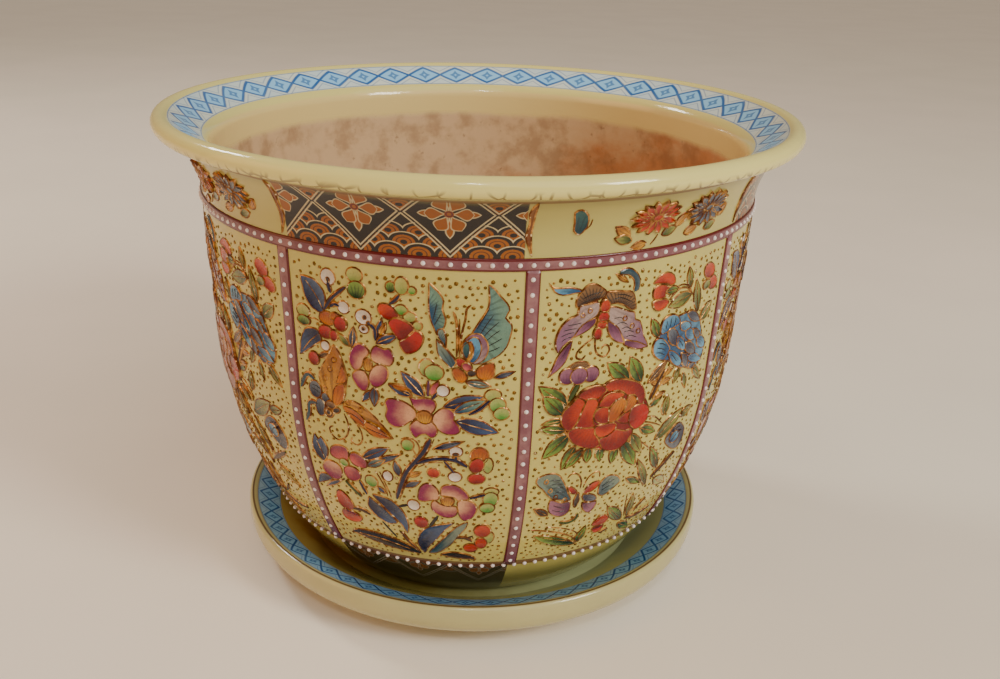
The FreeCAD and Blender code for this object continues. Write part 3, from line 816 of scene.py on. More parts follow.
def enamel_material():
    """Glassy enamel that runs from its root colour to its tip colour, with painted veins."""
    paint = Paint("raised_enamel")
    split = paint.tree.nodes.new("ShaderNodeSeparateXYZ")
    paint.tree.links.new(paint.attribute("grain").outputs["Vector"], split.inputs[0])
    along, beside = paint.field(split.outputs[0]), paint.field(split.outputs[1])
    cloud = paint.noise(420, 3)
    amount = (along + abs(beside) * 0.4 + (cloud - 0.5) * 0.4).step(0.52, 0.4, 0, 1)
    paint.coat(paint.blend(
        paint.attribute("root").outputs["Color"], paint.attribute("tip").outputs["Color"], amount))
    fan = (beside.math("ARCTAN2", along + 0.45) * 34 + (cloud - 0.5) * 2).wave()
    veins = paint.field(paint.attribute("veins").outputs["Fac"])
    paint.shade(fan.over(0.45, 0.4) * along.between(0.02, 0.72, 0.12) * veins, 0.85)
    paint.shade(paint.noise(1500).over(0.62, 0.2), 0.22)
    paint.roughness = 0.2
    paint.shader.inputs["Specular IOR Level"].default_value = 0.35
    paint.shader.inputs["Coat Weight"].default_value = 0.25
    paint.shader.inputs["Coat Roughness"].default_value = 0.06
    paint.bump(paint.noise(900), 0.12)
    return paint.finish()


def stem_material():
    """The same enamel on the thick stems, without veins."""
    paint = Paint("stem_enamel")
    paint.coat(paint.attribute("root").outputs["Color"])
    paint.shade(paint.noise(600, 3).over(0.5, 0.2), 0.3)
    paint.roughness = 0.22
    paint.bump(paint.noise(1200), 0.08)
    return paint.finish()


def lustre_material(name, colour, light, share):
    """Brown-gold lustre of the raised lines and dots; a share of it is lighter in patches, partly uneven gold
    and partly painted highlight, with small bright painted glints.
    """
    paint = Paint(name)
    paint.coat(colour)
    # Lighter gold in patches: partly uneven gold, partly painted highlight.
    paint.coat(light, paint.noise(260, 3).over(0.55, 0.18) * share)
    # Small bright spots: painted glints.
    paint.coat(tint(255, 236, 190), paint.noise(520, 2).over(0.66, 0.05) * share)
    paint.shader.inputs["Metallic"].default_value = 0.7
    paint.roughness = paint.noise(700) * 0.2 + 0.2
    paint.bump(paint.noise(1600), 0.05)
    return paint.finish()


def lozenge_band(paint, turn, across, count, aspect, wash):
    """Light blue lozenges tip to tip round a band; across runs from -1 to 1 over the band."""
    colours = settings("planter_ornament")
    narrowing = 0.86
    line, outer_line, edge_line = 1.0, 1.5, 1.08
    waver = (paint.noise(60, 1) - 0.5) * 0.12
    steps = turn * (count / math.tau) + waver * 0.4
    aside = (steps - steps.nearest_whole()) * 2
    height = (across + waver) / narrowing
    shape = abs(aside).math("POWER", 1.12) + abs(height)
    band = across.between(-1.12, 1.12, 0.04)
    paint.coat(colours.pale, band, 0.16)
    paint.coat(colours.sky, band * paint.noise(40).step(0.5, 0.3, wash - 0.3, wash))
    paint.coat(colours.sky, shape.under(line, 0.05))
    wide = abs(aside * aspect)
    flower = wide.least(abs(height)) * 1.5 + wide.most(abs(height)) * 0.9
    paint.coat(colours.ink, flower.under(0.56, 0.1) * flower.over(0.16, 0.08) * 0.7)
    paint.coat(colours.ink, shape.near(line, 0.15, 0.07) * paint.noise(50).step(0.45, 0.3, 0.8, 1.0))
    paint.coat(colours.ink, shape.near(outer_line, 0.06, 0.05) * band * 0.45)
    paint.coat(colours.ink, abs(across).near(edge_line, 0.035, 0.04) * 0.75)


def scallop(paint, distance, radius, colours, amount):
    """One painted scale: rings of cream, black and orange round a point, with a thin black line."""
    ring = distance / radius
    for colour, low, high in (
            (colours.cream, 0.9, 1.0), (colours.black, 0.66, 0.9), (colours.orange, 0.2, 0.66),
            (colours.black, -0.1, 0.2)):
        paint.coat(colour, ring.between(low, high, 0.03) * amount)
    paint.coat(colours.black, ring.near(0.44, 0.035, 0.03) * amount * 0.8)


def cartouche(paint, aside, rise, amount, period, half_rise, colours):
    """A black field with a cream lattice, flowers in its diamonds and scales between them.

    aside is 0 where two lattice lines cross; rise is 0 at the height of the crossings. A flower's leaves and
    petals are given by the first one's turn, their count, their length and their half width.
    """
    scale_rows = (3.4, -9.0, -13.4, -17.8)
    scale_radius = 6.4
    scale_step = period / 3
    flattening = 1.45
    leaves = (math.pi / 2, 4, 11, 1.6)
    petals = (0, 6, 8.6, 2.9)
    paint.coat(colours.black, amount, 0.2)
    cell = aside / period
    local = (cell - cell.nearest_whole()) * period
    for row, middle in enumerate(scale_rows):
        place = local * (3 / period) + 0.5 * (row % 2)
        beside, above = (place - place.nearest_whole()) * scale_step, (rise - middle) * flattening
        scallop(paint, (beside * beside + above * above).math("SQRT"), scale_radius, colours, amount)
    shifted = cell + 0.5
    flower_x = (shifted - shifted.nearest_whole()) * period
    diamond = abs(flower_x) / (period / 2) + abs(rise) / half_rise
    paint.coat(colours.black, diamond.under(1.0, 0.02) * amount)
    reach = (flower_x * flower_x + rise * rise).math("SQRT")
    angle = rise.math("ARCTAN2", flower_x)
    for first, count, length, width in (leaves, petals):
        part = (angle + first) * (count / math.tau)
        bend = (part - part.nearest_whole()) * (math.tau / count)
        along, beside = reach * bend.math("COSINE"), abs(reach * bend.wave())
        room = (along / length).least(1).most(0)
        outside = beside - ((room * room * math.pi).wave() * width).most(0)
        paint.coat(colours.cream, outside.under(0.1, 0.15) * along.under(length, 0.3) * amount)
        paint.coat(colours.orange, outside.under(-0.4, 0.15) * amount)
    paint.coat(colours.orange, reach.under(1.7, 0.2) * amount)
    paint.coat(colours.maroon, reach.near(1.1, 0.3, 0.15) * amount)
    for place in (0.93, 1.04):
        paint.coat(colours.cream, diamond.near(place, 0.022, 0.015) * amount)


def pot_material(wall, ups):
    """The pot's glaze zone by zone: foot, panels, neck, lip, lozenge band, throat, bare clay inside."""
    glaze, ornament = settings("planter_glaze"), settings("planter_ornament")
    paint = Paint("pot_glaze_painted")
    across, deep, height, radius, turn = paint.place()
    up = paint.field(paint.attribute("along").outputs["Fac"]) - wall.before
    panel = turn / PANEL_TURN
    aside = (panel - panel.nearest_whole()) * 100
    even = 1 - abs(panel.nearest_whole()).math("MODULO", 2.0)
    cloud = paint.noise(28, 4, 0.6)
    fine = paint.noise(220, 3)
    gold_line = ups["gold_line"]

    # The panels' ground, a little cloudy.
    paint.coat(glaze.ground, None, 0.13)
    paint.shade(cloud.over(0.5, 0.3), 0.1)
    paint.coat(glaze.neck, up.over(ups["belt_foot"], 0.3))

    # The foot: amber pools low down, a gold line, and a cartouche under each even panel in darker colours,
    # painted shade.
    foot = up.under(-0.3, 0.2)
    paint.coat(glaze.neck, foot)
    paint.coat(glaze.amber, foot * (up + cloud * 14).under(-4, 8) * 0.7)
    paint.coat(ornament.gold, up.near(ups["foot_line"], 0.35, 0.25) * 0.9)
    # The foot cartouche takes the darker colours: painted shade.
    shaded_cartouche = foot * even * abs(aside).under(49.2, 0.3) * up.over(ups["foot_line"], 0.25)
    cartouche(paint, aside + 17, (up + 2.2) * -1.15, shaded_cartouche, period=34.0, half_rise=19.0, colours=ShadedFootTones)
    paint.coat(ornament.gold, up.near(-0.4, 2.1, 0.35) * 0.85)

    # The neck: a bright cartouche over each even panel, with uneven ends.
    neck = up.between(ups["belt_top"], gold_line, 0.15)
    waver = (paint.noise(120) - 0.5) * 1.6
    painted = neck * even * (abs(aside) + waver).under(48.6, 0.3)
    cartouche(paint, aside - 3, up - 174, painted, period=33.5, half_rise=17.6, colours=ornament)
    paint.coat(glaze.neck, neck * even * (abs(aside) + waver).over(46.4, 0.3))

    # The lip: painted shade and the neck's darker glaze just over the gold line, for the shadow under the
    # lip, and fine cracks there.
    paint.coat(glaze.lip, up.over(gold_line, 0.5))
    paint.coat(glaze.neck, up.between(gold_line, gold_line + 7, 3) * 0.7)
    paint.shade(up.between(gold_line - 2, gold_line + 7, 4), 0.3)
    cracks = paint.cells(130, stretch=(1, 1, 0.3)).under(0.05, 0.03)
    cracked = up.between(gold_line + 1.4, ups["lip_face"], 1.6) * cloud.over(0.36, 0.12)
    paint.coat(tint(122, 104, 66), cracks * cracked * 0.8)
    paint.coat(ornament.gold, up.near(waver * 0.2 + gold_line, 0.75, 0.3) * 0.7)

    middle, half = (ups["band_out"] + ups["band_in"]) / 2, (ups["band_in"] - ups["band_out"]) / 2
    lozenge_band(paint, turn, (up - middle) / half, count=45, aspect=1.65, wash=0.5)

    # Inside: glaze down to an uneven edge, then bare clay with rust where water stood, spots and specks. The
    # drain hole and the foot's underside are bare too.
    inner = up.over(ups["throat"], 1)
    paint.coat(glaze.inside, inner * 0.9)
    paint.shade(inner * height.under(200, 12) * cloud, 0.16)
    edge = (height + (cloud - 0.5) * 6).under(BISCUIT_HEIGHT, 2.2)
    bare = (up.over(ups["throat"] + 3, 0.5) * edge).most(radius.under(14, 0.2))
    bare = bare.most(up.under(ups["foot_rim"], 0.4))
    paint.coat(glaze.biscuit, bare, 0.85)
    rust = paint.noise(34, 5, 0.65, stretch=(1, 1, 1.6))
    inside = bare * up.over(20, 1)
    wet = (across * 0.006 + (190 - height) * 0.012 - 0.1).most(-0.14).least(0.5)
    paint.coat(glaze.stain, inside * (rust + wet).over(0.72, 0.26) * 0.7)
    paint.coat(tint(132, 92, 58), inside * paint.noise(60, 4, 0.6).over(0.56, 0.12) * 0.5)
    paint.coat(tint(120, 84, 56), inside * fine.over(0.7, 0.06) * 0.5)
    paint.bump(cloud * 0.6 + fine * 0.08, 0.5)
    return paint.finish()


def saucer_material():
    """The saucer's glaze: cream side, dark rim line, lozenge band on the slope under painted shade, a pooled
    amber well with a painted pale reflection on its right and painted warm shade on its left.
    """
    glaze = settings("planter_glaze")
    slope_edge, well_edge, rim_line = 116.6, 104.6, 118.4
    band_middle, band_half = 110.4, 5.0
    paint = Paint("saucer_glaze_painted")
    across, deep, height, radius, turn = paint.place()
    cloud, fine = paint.noise(26, 4, 0.6), paint.noise(240, 3)
    paint.coat(glaze.saucer, None, 0.13)
    paint.shade(cloud.over(0.5, 0.3), 0.12)
    inner = radius.under(slope_edge, 0.2) * height.over(9.6, 0.2)
    well = inner * radius.under(well_edge, 0.5)
    paint.coat(glaze.amber, well)
    # Painted light in the well: a pale sage painted reflection on the right, warm orange painted shade on the
    # left.
    paint.coat(tint(178, 188, 140), well * (across * 0.012 + cloud).over(0.9, 0.5) * 0.8)
    paint.coat(tint(166, 96, 18), well * (cloud - across * 0.012).over(1.1, 0.5) * 0.8)
    paint.coat(glaze.neck, well * (cloud + (radius - 92) * 0.03).over(0.62, 0.2) * 0.5)
    band = (radius - band_middle) / band_half * inner + (1 - inner) * 3
    lozenge_band(paint, turn, band, count=60, aspect=1.6, wash=1.0)
    # Painted shade on the inner slope and its lozenge band, in the pot's shadow.
    paint.shade(inner * radius.over(well_edge + 0.2, 0.4), 0.3)
    paint.coat(tint(74, 42, 16), radius.near(rim_line, 0.5, 0.3) * height.over(26, 0.3) * 0.92)
    paint.coat(glaze.biscuit, height.under(0.5, 0.2), 0.85)
    paint.bump(cloud * 0.6 + fine * 0.08, 0.5)
    return paint.finish()


def band_material(name, edge_share):
    """Mauve enamel with dark red edge lines; the attribute beside runs from -1 to 1 over the band."""
    colours = settings("planter_ornament")
    paint = Paint(name)
    beside = paint.field(paint.attribute("beside").outputs["Fac"])
    cloud = paint.noise(90, 4, 0.6)
    height = paint.place()[2]
    paint.coat(colours.mauve, None, 0.24)
    paint.coat(tint(176, 132, 128), cloud.over(0.56, 0.16) * 0.5)
    paint.coat(tint(92, 52, 70), (height + (cloud - 0.5) * 60).under(70, 30) * 0.55)
    paint.coat(colours.maroon, (abs(beside) + (cloud - 0.5) * 0.12).over(edge_share, 0.06))
    paint.bump(paint.noise(500, 3), 0.12)
    return paint.finish()


def bead_material():
    """White enamel beads, a few of them stained."""
    paint = Paint("bead_enamel")
    paint.coat(settings("planter_ornament").bead, None, 0.25)
    paint.coat(tint(200, 178, 176), paint.noise(300).over(0.58, 0.15) * 0.5)
    paint.bump(paint.noise(1400), 0.05)
    return paint.finish()


@functools.cache
def pot_outline():
    """The outline that the pot is turned from."""
    return cut_outline("cachepot")


@functools.cache
def pot_wall():
    """The pot's outside, on which the enamel lies."""
    return Wall(pot_outline())


def glaze_changes(outline, wall):
    """Millimetres along the pot's outline, from the low line, at which its glaze changes."""
    totals = lengths_along(outline)

    def at(radius, height):
        return nearest_length(outline, totals, Vector((radius, height)) * MM) / MM - wall.before

    low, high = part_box("belt_band")
    return {
        "foot_rim": wall.ups[0], "foot_line": wall.up_at(12.8 * MM), "belt_foot": wall.up_at(low.z),
        "belt_top": wall.up_at(high.z), "gold_line": wall.up_at(217 * MM), "lip_face": at(150, 222.5),
        "band_out": at(141.8, 226.2), "band_in": at(129.4, 218.5), "throat": at(127.4, 214)}


def strip(name, wall, low, high, half_width, steps, centre=0, level=None):
    """A closed enamel band on the pot's wall, with the attribute beside: -1 at one edge, 1 at the other.

    A level band runs round the pot from low to high across, at the given up; another one runs up the wall.
    """
    band = bmesh.new()
    beside = band.verts.layers.float.new("beside")
    made = bmesh.ops.create_grid(band, x_segments=steps, y_segments=16, size=1)["verts"]
    for vert in made:
        run = low + (vert.co.x + 1) / 2 * (high - low)
        around = vert.co.y * math.pi
        side = math.copysign(abs(math.cos(around)) ** 0.5, math.cos(around))
        lift = BAND_THICKNESS * math.copysign(abs(math.sin(around)) ** 0.7, math.sin(around))
        vert[beside] = side
        if level is not None:
            vert.co = wall.place(run, level + side * half_width, lift, centre)
        else:
            radius = math.hypot(*wall.place(0, run, 0, 0).xy) / MM
            vert.co = wall.place(side * half_width / radius / PANEL_TURN * 100, run, lift, centre)
    bmesh.ops.remove_doubles(band, verts=band.verts, dist=20 * SAME_POINT)
    bmesh.ops.holes_fill(band, edges=[edge for edge in band.edges if edge.is_boundary], sides=40)
    bmesh.ops.recalc_face_normals(band, faces=band.faces)
    return finished(name, band)


# The painted panels. A place is hundredths of a panel across and millimetres up, from the middle of the low
# line. Each row holds an enamel and the shapes that have it: a stem or a stroke by its width and points, a
# leaf by its base, tip and width, an outline by the start and end of its colour run and its corners, and an
# oval by its centre, half widths and turn in degrees.

# The blossom panel: pink blossoms and berries on branches, an orange butterfly and a blue one.
BLOSSOM_STEMS = (
    ("navy", (1.6, (-28.5, 140.5), (-28.2, 138), (-27.5, 136)),
     (1.6, (-30.8, 128.5), (-27.5, 133.5), (-21, 139.5)), (1.6, (-28, 130), (-26.3, 131.4), (-24, 131))),
    ("gold", (0.8, (-39, 122.8), (-36, 123.2), (-33, 122))),
    ("navy", (1.6, (-11.8, 126), (-9.5, 123.5), (-9.3, 119)), (1.6, (0.7, 139), (-0.8, 137), (-3, 135.2))),
    ("steel", (2, (-45.8, 90.5), (-43.8, 95), (-41.5, 97.3), (-38.5, 95.8)),
     (2, (-44.7, 75), (-43, 79), (-42, 84), (-38, 84.8))),
    ("gold", (0.9, (-25, 83), (-23.4, 78), (-24.6, 72.4), (-28.8, 69.3), (-32, 71), (-33, 74), (-31, 75.6)),
     (0.9, (-20.5, 80.5), (-17.8, 76.5), (-17.4, 72), (-19.6, 69), (-22.4, 70), (-22.2, 72.2))),
    ("plum", (1.8, (11.6, 104), (11.3, 97.2))),
    ("navy", (1.5, (15, 99.3), (13, 96)), (1.7, (27.5, 89.8), (32, 92.6), (35.4, 96.4)),
     (2.1, (12, 77.5), (9.5, 71.5), (5.5, 65.5), (1.5, 59.5), (-1.5, 52), (-4.2, 43.5))),
    ("gold", (0.7, (13.6, 77.5), (11, 71), (7.2, 65), (3, 58.6), (0, 51), (-3, 43))),
    ("navy", (1.9, (6, 64.5), (11.5, 67.2), (17, 68.2), (22.5, 67.6), (27, 64.6))),
    ("gold", (0.7, (6.5, 62.6), (12, 65.6), (17, 66))),
    ("navy", (1.5, (17.6, 67), (21.6, 61.4)), (1.9, (22.4, 69.6), (22.4, 67.6))),
    ("gold", (0.8, (0, 76), (3, 76.9), (6, 75.6), (7.4, 72.2), (6.4, 68.4), (4.6, 71.6))),
    ("olive", (2.2, (-29, 47.4), (-25.5, 43.6), (-22, 40))),
    ("navy", (1.7, (-21.4, 49.6), (-20.2, 46), (-18.8, 42.6))),
    ("brown", (2.4, (-28.4, 30.6), (-24, 31), (-19.4, 29.4))),
    ("gold", (0.8, (-13, 57), (-11, 53), (-9.2, 48), (-8.6, 43.8)),
     (0.8, (-11, 57), (-9, 51), (-7.5, 46), (-7, 43.4))),
    ("navy", (1.6, (28.4, 47.4), (32, 48.6), (35, 49.6))),
    ("dark", (2, (-4, 38.4), (0.6, 40.3)), (1.8, (14, 35.4), (11.6, 31), (9.6, 27.4)),
     (1.1, (-14, 26), (-11, 21), (-8, 16.4))),
    ("gold", (1, (-6, 22), (-3, 15), (1.5, 8.6))),
    ("brown", (1.4, (-5, 21.6), (-1.8, 15), (2.6, 8.6)), (1.7, (22, 21.2), (26, 21.4), (29.6, 19.2)),
     (1.2, (26, 20.4), (30, 22.8))),
    ("gold", (1, (23.4, 116), (24.2, 124), (25.6, 131), (26, 135), (27.6, 136.8)),
     (1.2, (22.4, 115), (22.7, 122), (22.2, 130), (21, 134)), (0.8, (23.6, 112), (23.4, 124), (23.4, 131))))
BLOSSOM_LEAVES = (
    ("brown", ((-35.5, 106.6), (-29.6, 109.6), 2.4)), ("slate", ((-19.5, 114), (-18.4, 123.2), 3.6)),
    ("olive", ((-20.6, 114.4), (-25.6, 119.2), 3)), ("navy", ((-9, 119), (-6.3, 129), 2.8)),
    ("tan", ((-7.5, 121), (-4.8, 127), 2.4)),
    ("navy", ((-9, 117.8), (0, 122.6), 3.8), ((-12, 96.4), (-16.2, 90.4), 2.8)),
    ("slate", ((-10.5, 98.2), (-10.8, 89.4), 4)),
    ("navy", ((9.8, 96.4), (0.6, 106.8), 5.6), ((5, 96.4), (-4.6, 100.2), 4)),
    ("orange", ((4.8, 98.8), (-4.4, 100.9), 2.4)), ("rose", ((12.4, 97.6), (15.6, 104), 3.2)),
    ("navy", ((17.4, 92.6), (33.2, 98), 5.6)), ("blue", ((21.4, 90.6), (34.2, 96.6), 4.8)),
    ("navy", ((22.3, 86.6), (39.4, 81.4), 7)),
    ("slate", ((13, 72.6), (26, 77.2), 3.2), ((0, 51), (7.4, 55.2), 3.2)),
    ("tan", ((2.6, 57), (7.8, 60.2), 2.4)), ("navy", ((-18.6, 62.4), (-5.6, 70.6), 5)),
    ("slate", ((-15.6, 60), (0.4, 68.6), 3.4)), ("steel", ((-16.2, 59.2), (-7.6, 64.4), 4)),
    ("slate", ((-2, 56.6), (-3.6, 64.6), 3.4)), ("navy", ((-12.8, 48.4), (-9.4, 45.2), 2.4)),
    ("steel", ((26, 104.2), (36, 102.4), 3.6)), ("slate", ((37, 106.2), (45, 108.8), 2.6)))
BLOSSOM_OUTLINES = (
    ("navy", ((-40, 129), (-31, 139), (-32, 126.5), (-37, 128), (-40, 132), (-41, 137), (-41.5, 140.5),
      (-37, 140.5), (-34, 139.5), (-31, 136), (-30.3, 132)),
     ((-35, 118), (-44, 108), (-33.5, 115.5), (-35, 118.4), (-38, 118.8), (-41.5, 117.5), (-44, 112),
      (-45, 105.5), (-41, 108), (-37, 111.5), (-34, 113.5))),
    ("pink", ((-14.5, 108.5), (-20.5, 111.5), (-20, 106), (-21, 109), (-20, 112.5), (-18, 115.5),
      (-15.5, 116.5), (-13, 115), (-12.2, 112.5), (-14.5, 110), (-15.5, 106.5), (-18, 104.5)),
     ((-8.5, 109), (-6.5, 116.5), (-11.5, 111), (-11, 114.5), (-9, 116.5), (-6, 115.5), (-4, 116),
      (-2.5, 114), (-2.3, 111), (-4, 108.5), (-7, 109), (-9.5, 109)),
     ((-11, 107), (-5.5, 100), (-12.8, 101.5), (-12, 105), (-9.5, 108), (-6.5, 108.5), (-4.5, 106),
      (-5, 103), (-6.5, 100.5), (-9, 98.5), (-11.5, 99)),
     ((-14, 104.5), (-17.5, 96.5), (-19.8, 102.5), (-17.5, 104.5), (-14.5, 104.5), (-13, 101.5), (-13.2, 98),
      (-14.5, 96), (-16.5, 96), (-18.5, 98), (-19.8, 100.5))),
    ("tan", ((-29, 88), (-28, 113), (-28, 113.5), (-30, 110), (-33, 104.5), (-35.5, 100), (-35.5, 96),
      (-33, 91), (-30, 87.5), (-26, 87), (-24, 92), (-23, 98), (-23, 102), (-24, 106.5), (-25.5, 111))),
    ("orange", ((-27, 97), (-24, 106), (-27.6, 97), (-26.6, 99.6), (-25.5, 103), (-24.3, 105.8),
      (-22.8, 102), (-22.8, 98.4), (-25, 97.2)),
     ((-28, 87), (-25, 97), (-29.6, 88.2), (-29.2, 91.5), (-28, 95), (-25.6, 96.6), (-23.5, 97), (-23.8, 92),
      (-25.5, 88), (-28, 86.4))),
    ("tan", ((-25, 86), (-4, 78), (-25, 88), (-20, 90), (-14, 87), (-8, 81.5), (-3.5, 75.5), (-9, 75),
      (-14, 77), (-19, 79.5), (-24, 84.5))),
    ("orange", ((-25, 86), (-15, 80), (-25, 86.6), (-21, 86.5), (-17, 84), (-14.4, 81), (-15, 78.6),
      (-19, 80.2), (-23.6, 83.8)),
     ((-15, 80.5), (-4.5, 76), (-15, 81.8), (-10, 80), (-4.6, 76), (-9, 75), (-13.5, 76.4), (-15.4, 79))),
    ("scarlet", ((-3, 129.5), (-6, 134.5), (-8, 132.4), (-7, 134.6), (-4, 134.9), (-1, 133), (0.5, 130.4),
      (-1.5, 129), (-4, 128.4), (-7, 130))),
    ("red", ((3, 123), (-2, 129), (-3.6, 127.4), (-1.5, 129.6), (1.5, 129.4), (5, 127.6), (6.6, 125),
      (4, 122.4), (1, 120.4), (-1, 122.4), (-2.6, 125)),
     ((3, 117), (9, 122.5), (5.6, 125), (8, 124.9), (9.9, 122.4), (9, 119), (7, 116.4), (3.5, 115),
      (1.4, 117), (0.5, 120), (3, 121.6))),
    ("blue", ((12, 134), (18, 137), (12, 145), (14.3, 143), (16.5, 140.5), (17.6, 137.5), (17, 134.5),
      (18.3, 131), (18, 128), (17, 126.5), (15.5, 126), (14.8, 124), (13.5, 127), (12.3, 131), (11.8, 136),
      (11.8, 141))),
    ("steel", ((16, 122), (18, 126), (15.3, 126), (17.5, 126.5), (18.5, 122.5), (18.4, 118), (16.8, 121),
      (15.2, 123.8)),
     ((21, 111), (15.5, 121), (14.8, 122), (17.5, 119.5), (20, 116.5), (22.4, 113), (20.3, 110.2),
      (18, 112.5), (15.6, 115.5), (14.9, 118.5))),
    ("blue", ((30, 131), (42, 130), (33.8, 145), (36.5, 143.3), (38.5, 140.5), (41, 137.5), (42, 134.5),
      (40.5, 131.5), (42.5, 129.5), (43, 127), (42.5, 124), (41.5, 120), (39, 116.5), (36, 114.3),
      (32, 112.3), (28.5, 113), (27, 117), (26.3, 121), (29, 127), (32, 132), (33.8, 136), (34, 140))),
    ("lilac", ((27, 114), (34, 124), (25.5, 122.5), (28, 125), (31.5, 124.8), (34, 121.5), (34.3, 118),
      (33, 114.5), (30.5, 112.5), (28, 112.5), (25.5, 115), (24, 119))),
    ("azure", ((27, 113), (31, 122), (26, 121.6), (28.3, 123.8), (30.8, 123), (31.8, 119), (30.5, 114.5),
      (28.3, 112.8), (26, 115), (25, 118.5))),
    ("tan", ((26, 114), (28.5, 121), (25.6, 121), (27.8, 122), (29, 119), (28.3, 115), (26.8, 113.8),
      (25.2, 116), (24.6, 119))),
    ("orange", ((25, 104.5), (24, 109.5), (20.8, 109.5), (23.5, 110), (26, 107.5), (26.5, 105.5),
      (24.5, 103.8), (21.8, 105.3)),
     ((33, 105.5), (34, 112), (30.3, 110), (33, 112), (36.5, 112.5), (37, 109.5), (36.5, 106.5), (34, 105.3),
      (31.3, 105.8), (30, 107.8))),
    ("pink", ((5.5, 87.5), (-6, 86.5), (6.5, 87), (3, 84), (0.5, 82), (-2.5, 81.5), (-5, 83), (-6.3, 86),
      (-5.5, 89), (-6.3, 91.5), (-5, 93.8), (-1, 94), (2.5, 93), (5.8, 90.5)),
     ((9.5, 88.5), (9.5, 96.5), (4, 96), (6.5, 95.5), (9.5, 96), (13, 95.8), (14.5, 93.5), (13.5, 90.5),
      (11.5, 88.8), (9.5, 89.6), (7.5, 90), (6, 91), (4.8, 93.5)),
     ((13.8, 87), (23.5, 84.5), (13, 87.5), (14.5, 90), (17, 92), (20, 91.8), (22, 89.5), (21.5, 87),
      (23.5, 84.5), (24, 82), (22, 80.3), (18.5, 80.3), (15.5, 82), (13.3, 85)),
     ((9.5, 86), (9, 77.8), (9.5, 85), (7, 86), (5, 84.5), (3.8, 82.5), (4.3, 80), (6.5, 77.5), (8, 79),
      (10, 79.8), (12, 78.3), (14, 79), (15, 81.5), (14.3, 84), (12, 86)),
     ((14.5, 47), (6, 48), (5.7, 44.5), (5.8, 48), (7, 52), (9.5, 54.3), (12, 54), (14.3, 51.5), (15, 48),
      (14.3, 45.5), (12, 45.3), (9, 44)),
     ((19.5, 47), (22, 54.5), (15.8, 50), (16.3, 53), (19, 54.5), (23, 54), (26.5, 51), (28, 47.5), (26, 46),
      (23.5, 45), (21.5, 47.5), (18, 48), (16, 48)),
     ((23, 43), (30.5, 37), (22.8, 44), (24.5, 46.3), (28, 46), (30.5, 44.3), (31.5, 41), (30.3, 37),
      (28, 34.5), (25.5, 34), (23.7, 36.5), (23.3, 40)),
     ((18, 43), (17, 34.5), (11.3, 40), (11.5, 43.5), (13.5, 45), (15.5, 43), (18, 42.2), (20.5, 42.5),
      (22.5, 41.5), (22.8, 38.5), (21.5, 36), (18.5, 35), (15, 36), (12.5, 38))),
    ("rose", ((-28, 58.5), (-30, 67), (-34, 63.5), (-32, 65.5), (-29, 66.5), (-25.5, 66), (-25, 62.5),
      (-26, 59.5), (-29, 59), (-32, 59), (-34.3, 60.5)),
     ((-24, 58), (-19, 65), (-24, 63.5), (-21.5, 64.8), (-18, 63.5), (-16.3, 61), (-17, 58), (-20, 57.5),
      (-23, 58.5), (-24.5, 61)),
     ((-29, 57), (-22, 49), (-28.7, 53), (-27.5, 55.7), (-24.5, 56.5), (-21.5, 55.5), (-20.3, 52.5),
      (-21.5, 50), (-24.5, 48.5), (-27.5, 49.5))),
    ("pink", ((-34, 57.5), (-36, 47), (-40.5, 51), (-39, 54.5), (-36, 56.5), (-32, 56), (-30, 53.5),
      (-30.3, 50), (-32.5, 47), (-36, 46.5), (-39, 48.5))),
    ("navy", ((-40, 56), (-40, 69), (-39.6, 55.2), (-43, 58.5), (-44, 62), (-43, 66), (-41.5, 69),
      (-40, 66.4), (-38.8, 68), (-37, 66.5), (-35.5, 62.5), (-36.5, 58.5), (-38, 56)),
     ((-38, 47), (-46, 40), (-36.5, 46.3), (-39, 47.8), (-43, 47), (-45, 43.5), (-45.8, 40.2), (-41, 43),
      (-37, 45)),
     ((-30, 47), (-42, 40), (-29.6, 48.2), (-32, 45.5), (-36, 42.3), (-41.4, 39.8), (-38.5, 43.5),
      (-34.5, 46), (-31.5, 47)),
     ((-18, 34), (-6, 29), (-18.5, 40.5), (-19.5, 36), (-18, 31.5), (-14.5, 28), (-11, 26), (-8, 26.5),
      (-6, 28), (-9, 32.5), (-13, 37), (-17, 40.5)),
     ((-12, 40), (0, 26), (-16, 43), (-12, 43), (-7, 41.5), (-3, 37), (-1, 32), (-0.5, 26), (-2, 21),
      (-4, 26), (-7, 31), (-11, 36), (-15, 40.5))),
    ("dark", ((-4, 10), (-34, 13), (2.6, 8.6), (-4, 13), (-12, 16), (-22, 17), (-30, 15.5), (-34.5, 11.8),
      (-26, 10), (-16, 8), (-6, 6.5), (2, 6))),
    ("navy", ((3, 10), (16, 30), (5, 8), (2.6, 13), (3.2, 19), (6.3, 25), (11, 28.5), (17, 30.5),
      (21.4, 31.5), (17, 26), (13, 20), (8.5, 13), (6.5, 8.5))),
    ("steel", ((10, 9), (25, 30), (7.6, 8.5), (12, 15), (17, 22), (22, 29), (27.5, 32.5), (26.5, 27.5),
      (23.5, 23), (20, 17), (16, 11.5), (11, 8))),
    ("dark", ((14, 8), (30, 8), (13.6, 7.4), (19, 10), (24, 9.5), (29, 8), (31.8, 4.4), (26, 4.7),
      (20, 5.4))),
    ("scarlet", ((-32, 30), (-33, 41), (-36, 38.5), (-33, 40), (-30, 37.5), (-28, 33.5), (-28.5, 30),
      (-31, 28.5), (-35, 29.5), (-37, 33)),
     ((-32, 27), (-31, 20), (-36.5, 25), (-34.5, 28), (-31, 28.5), (-27, 27.5), (-25, 25), (-27, 22),
      (-31, 20.8), (-35, 21.8))))
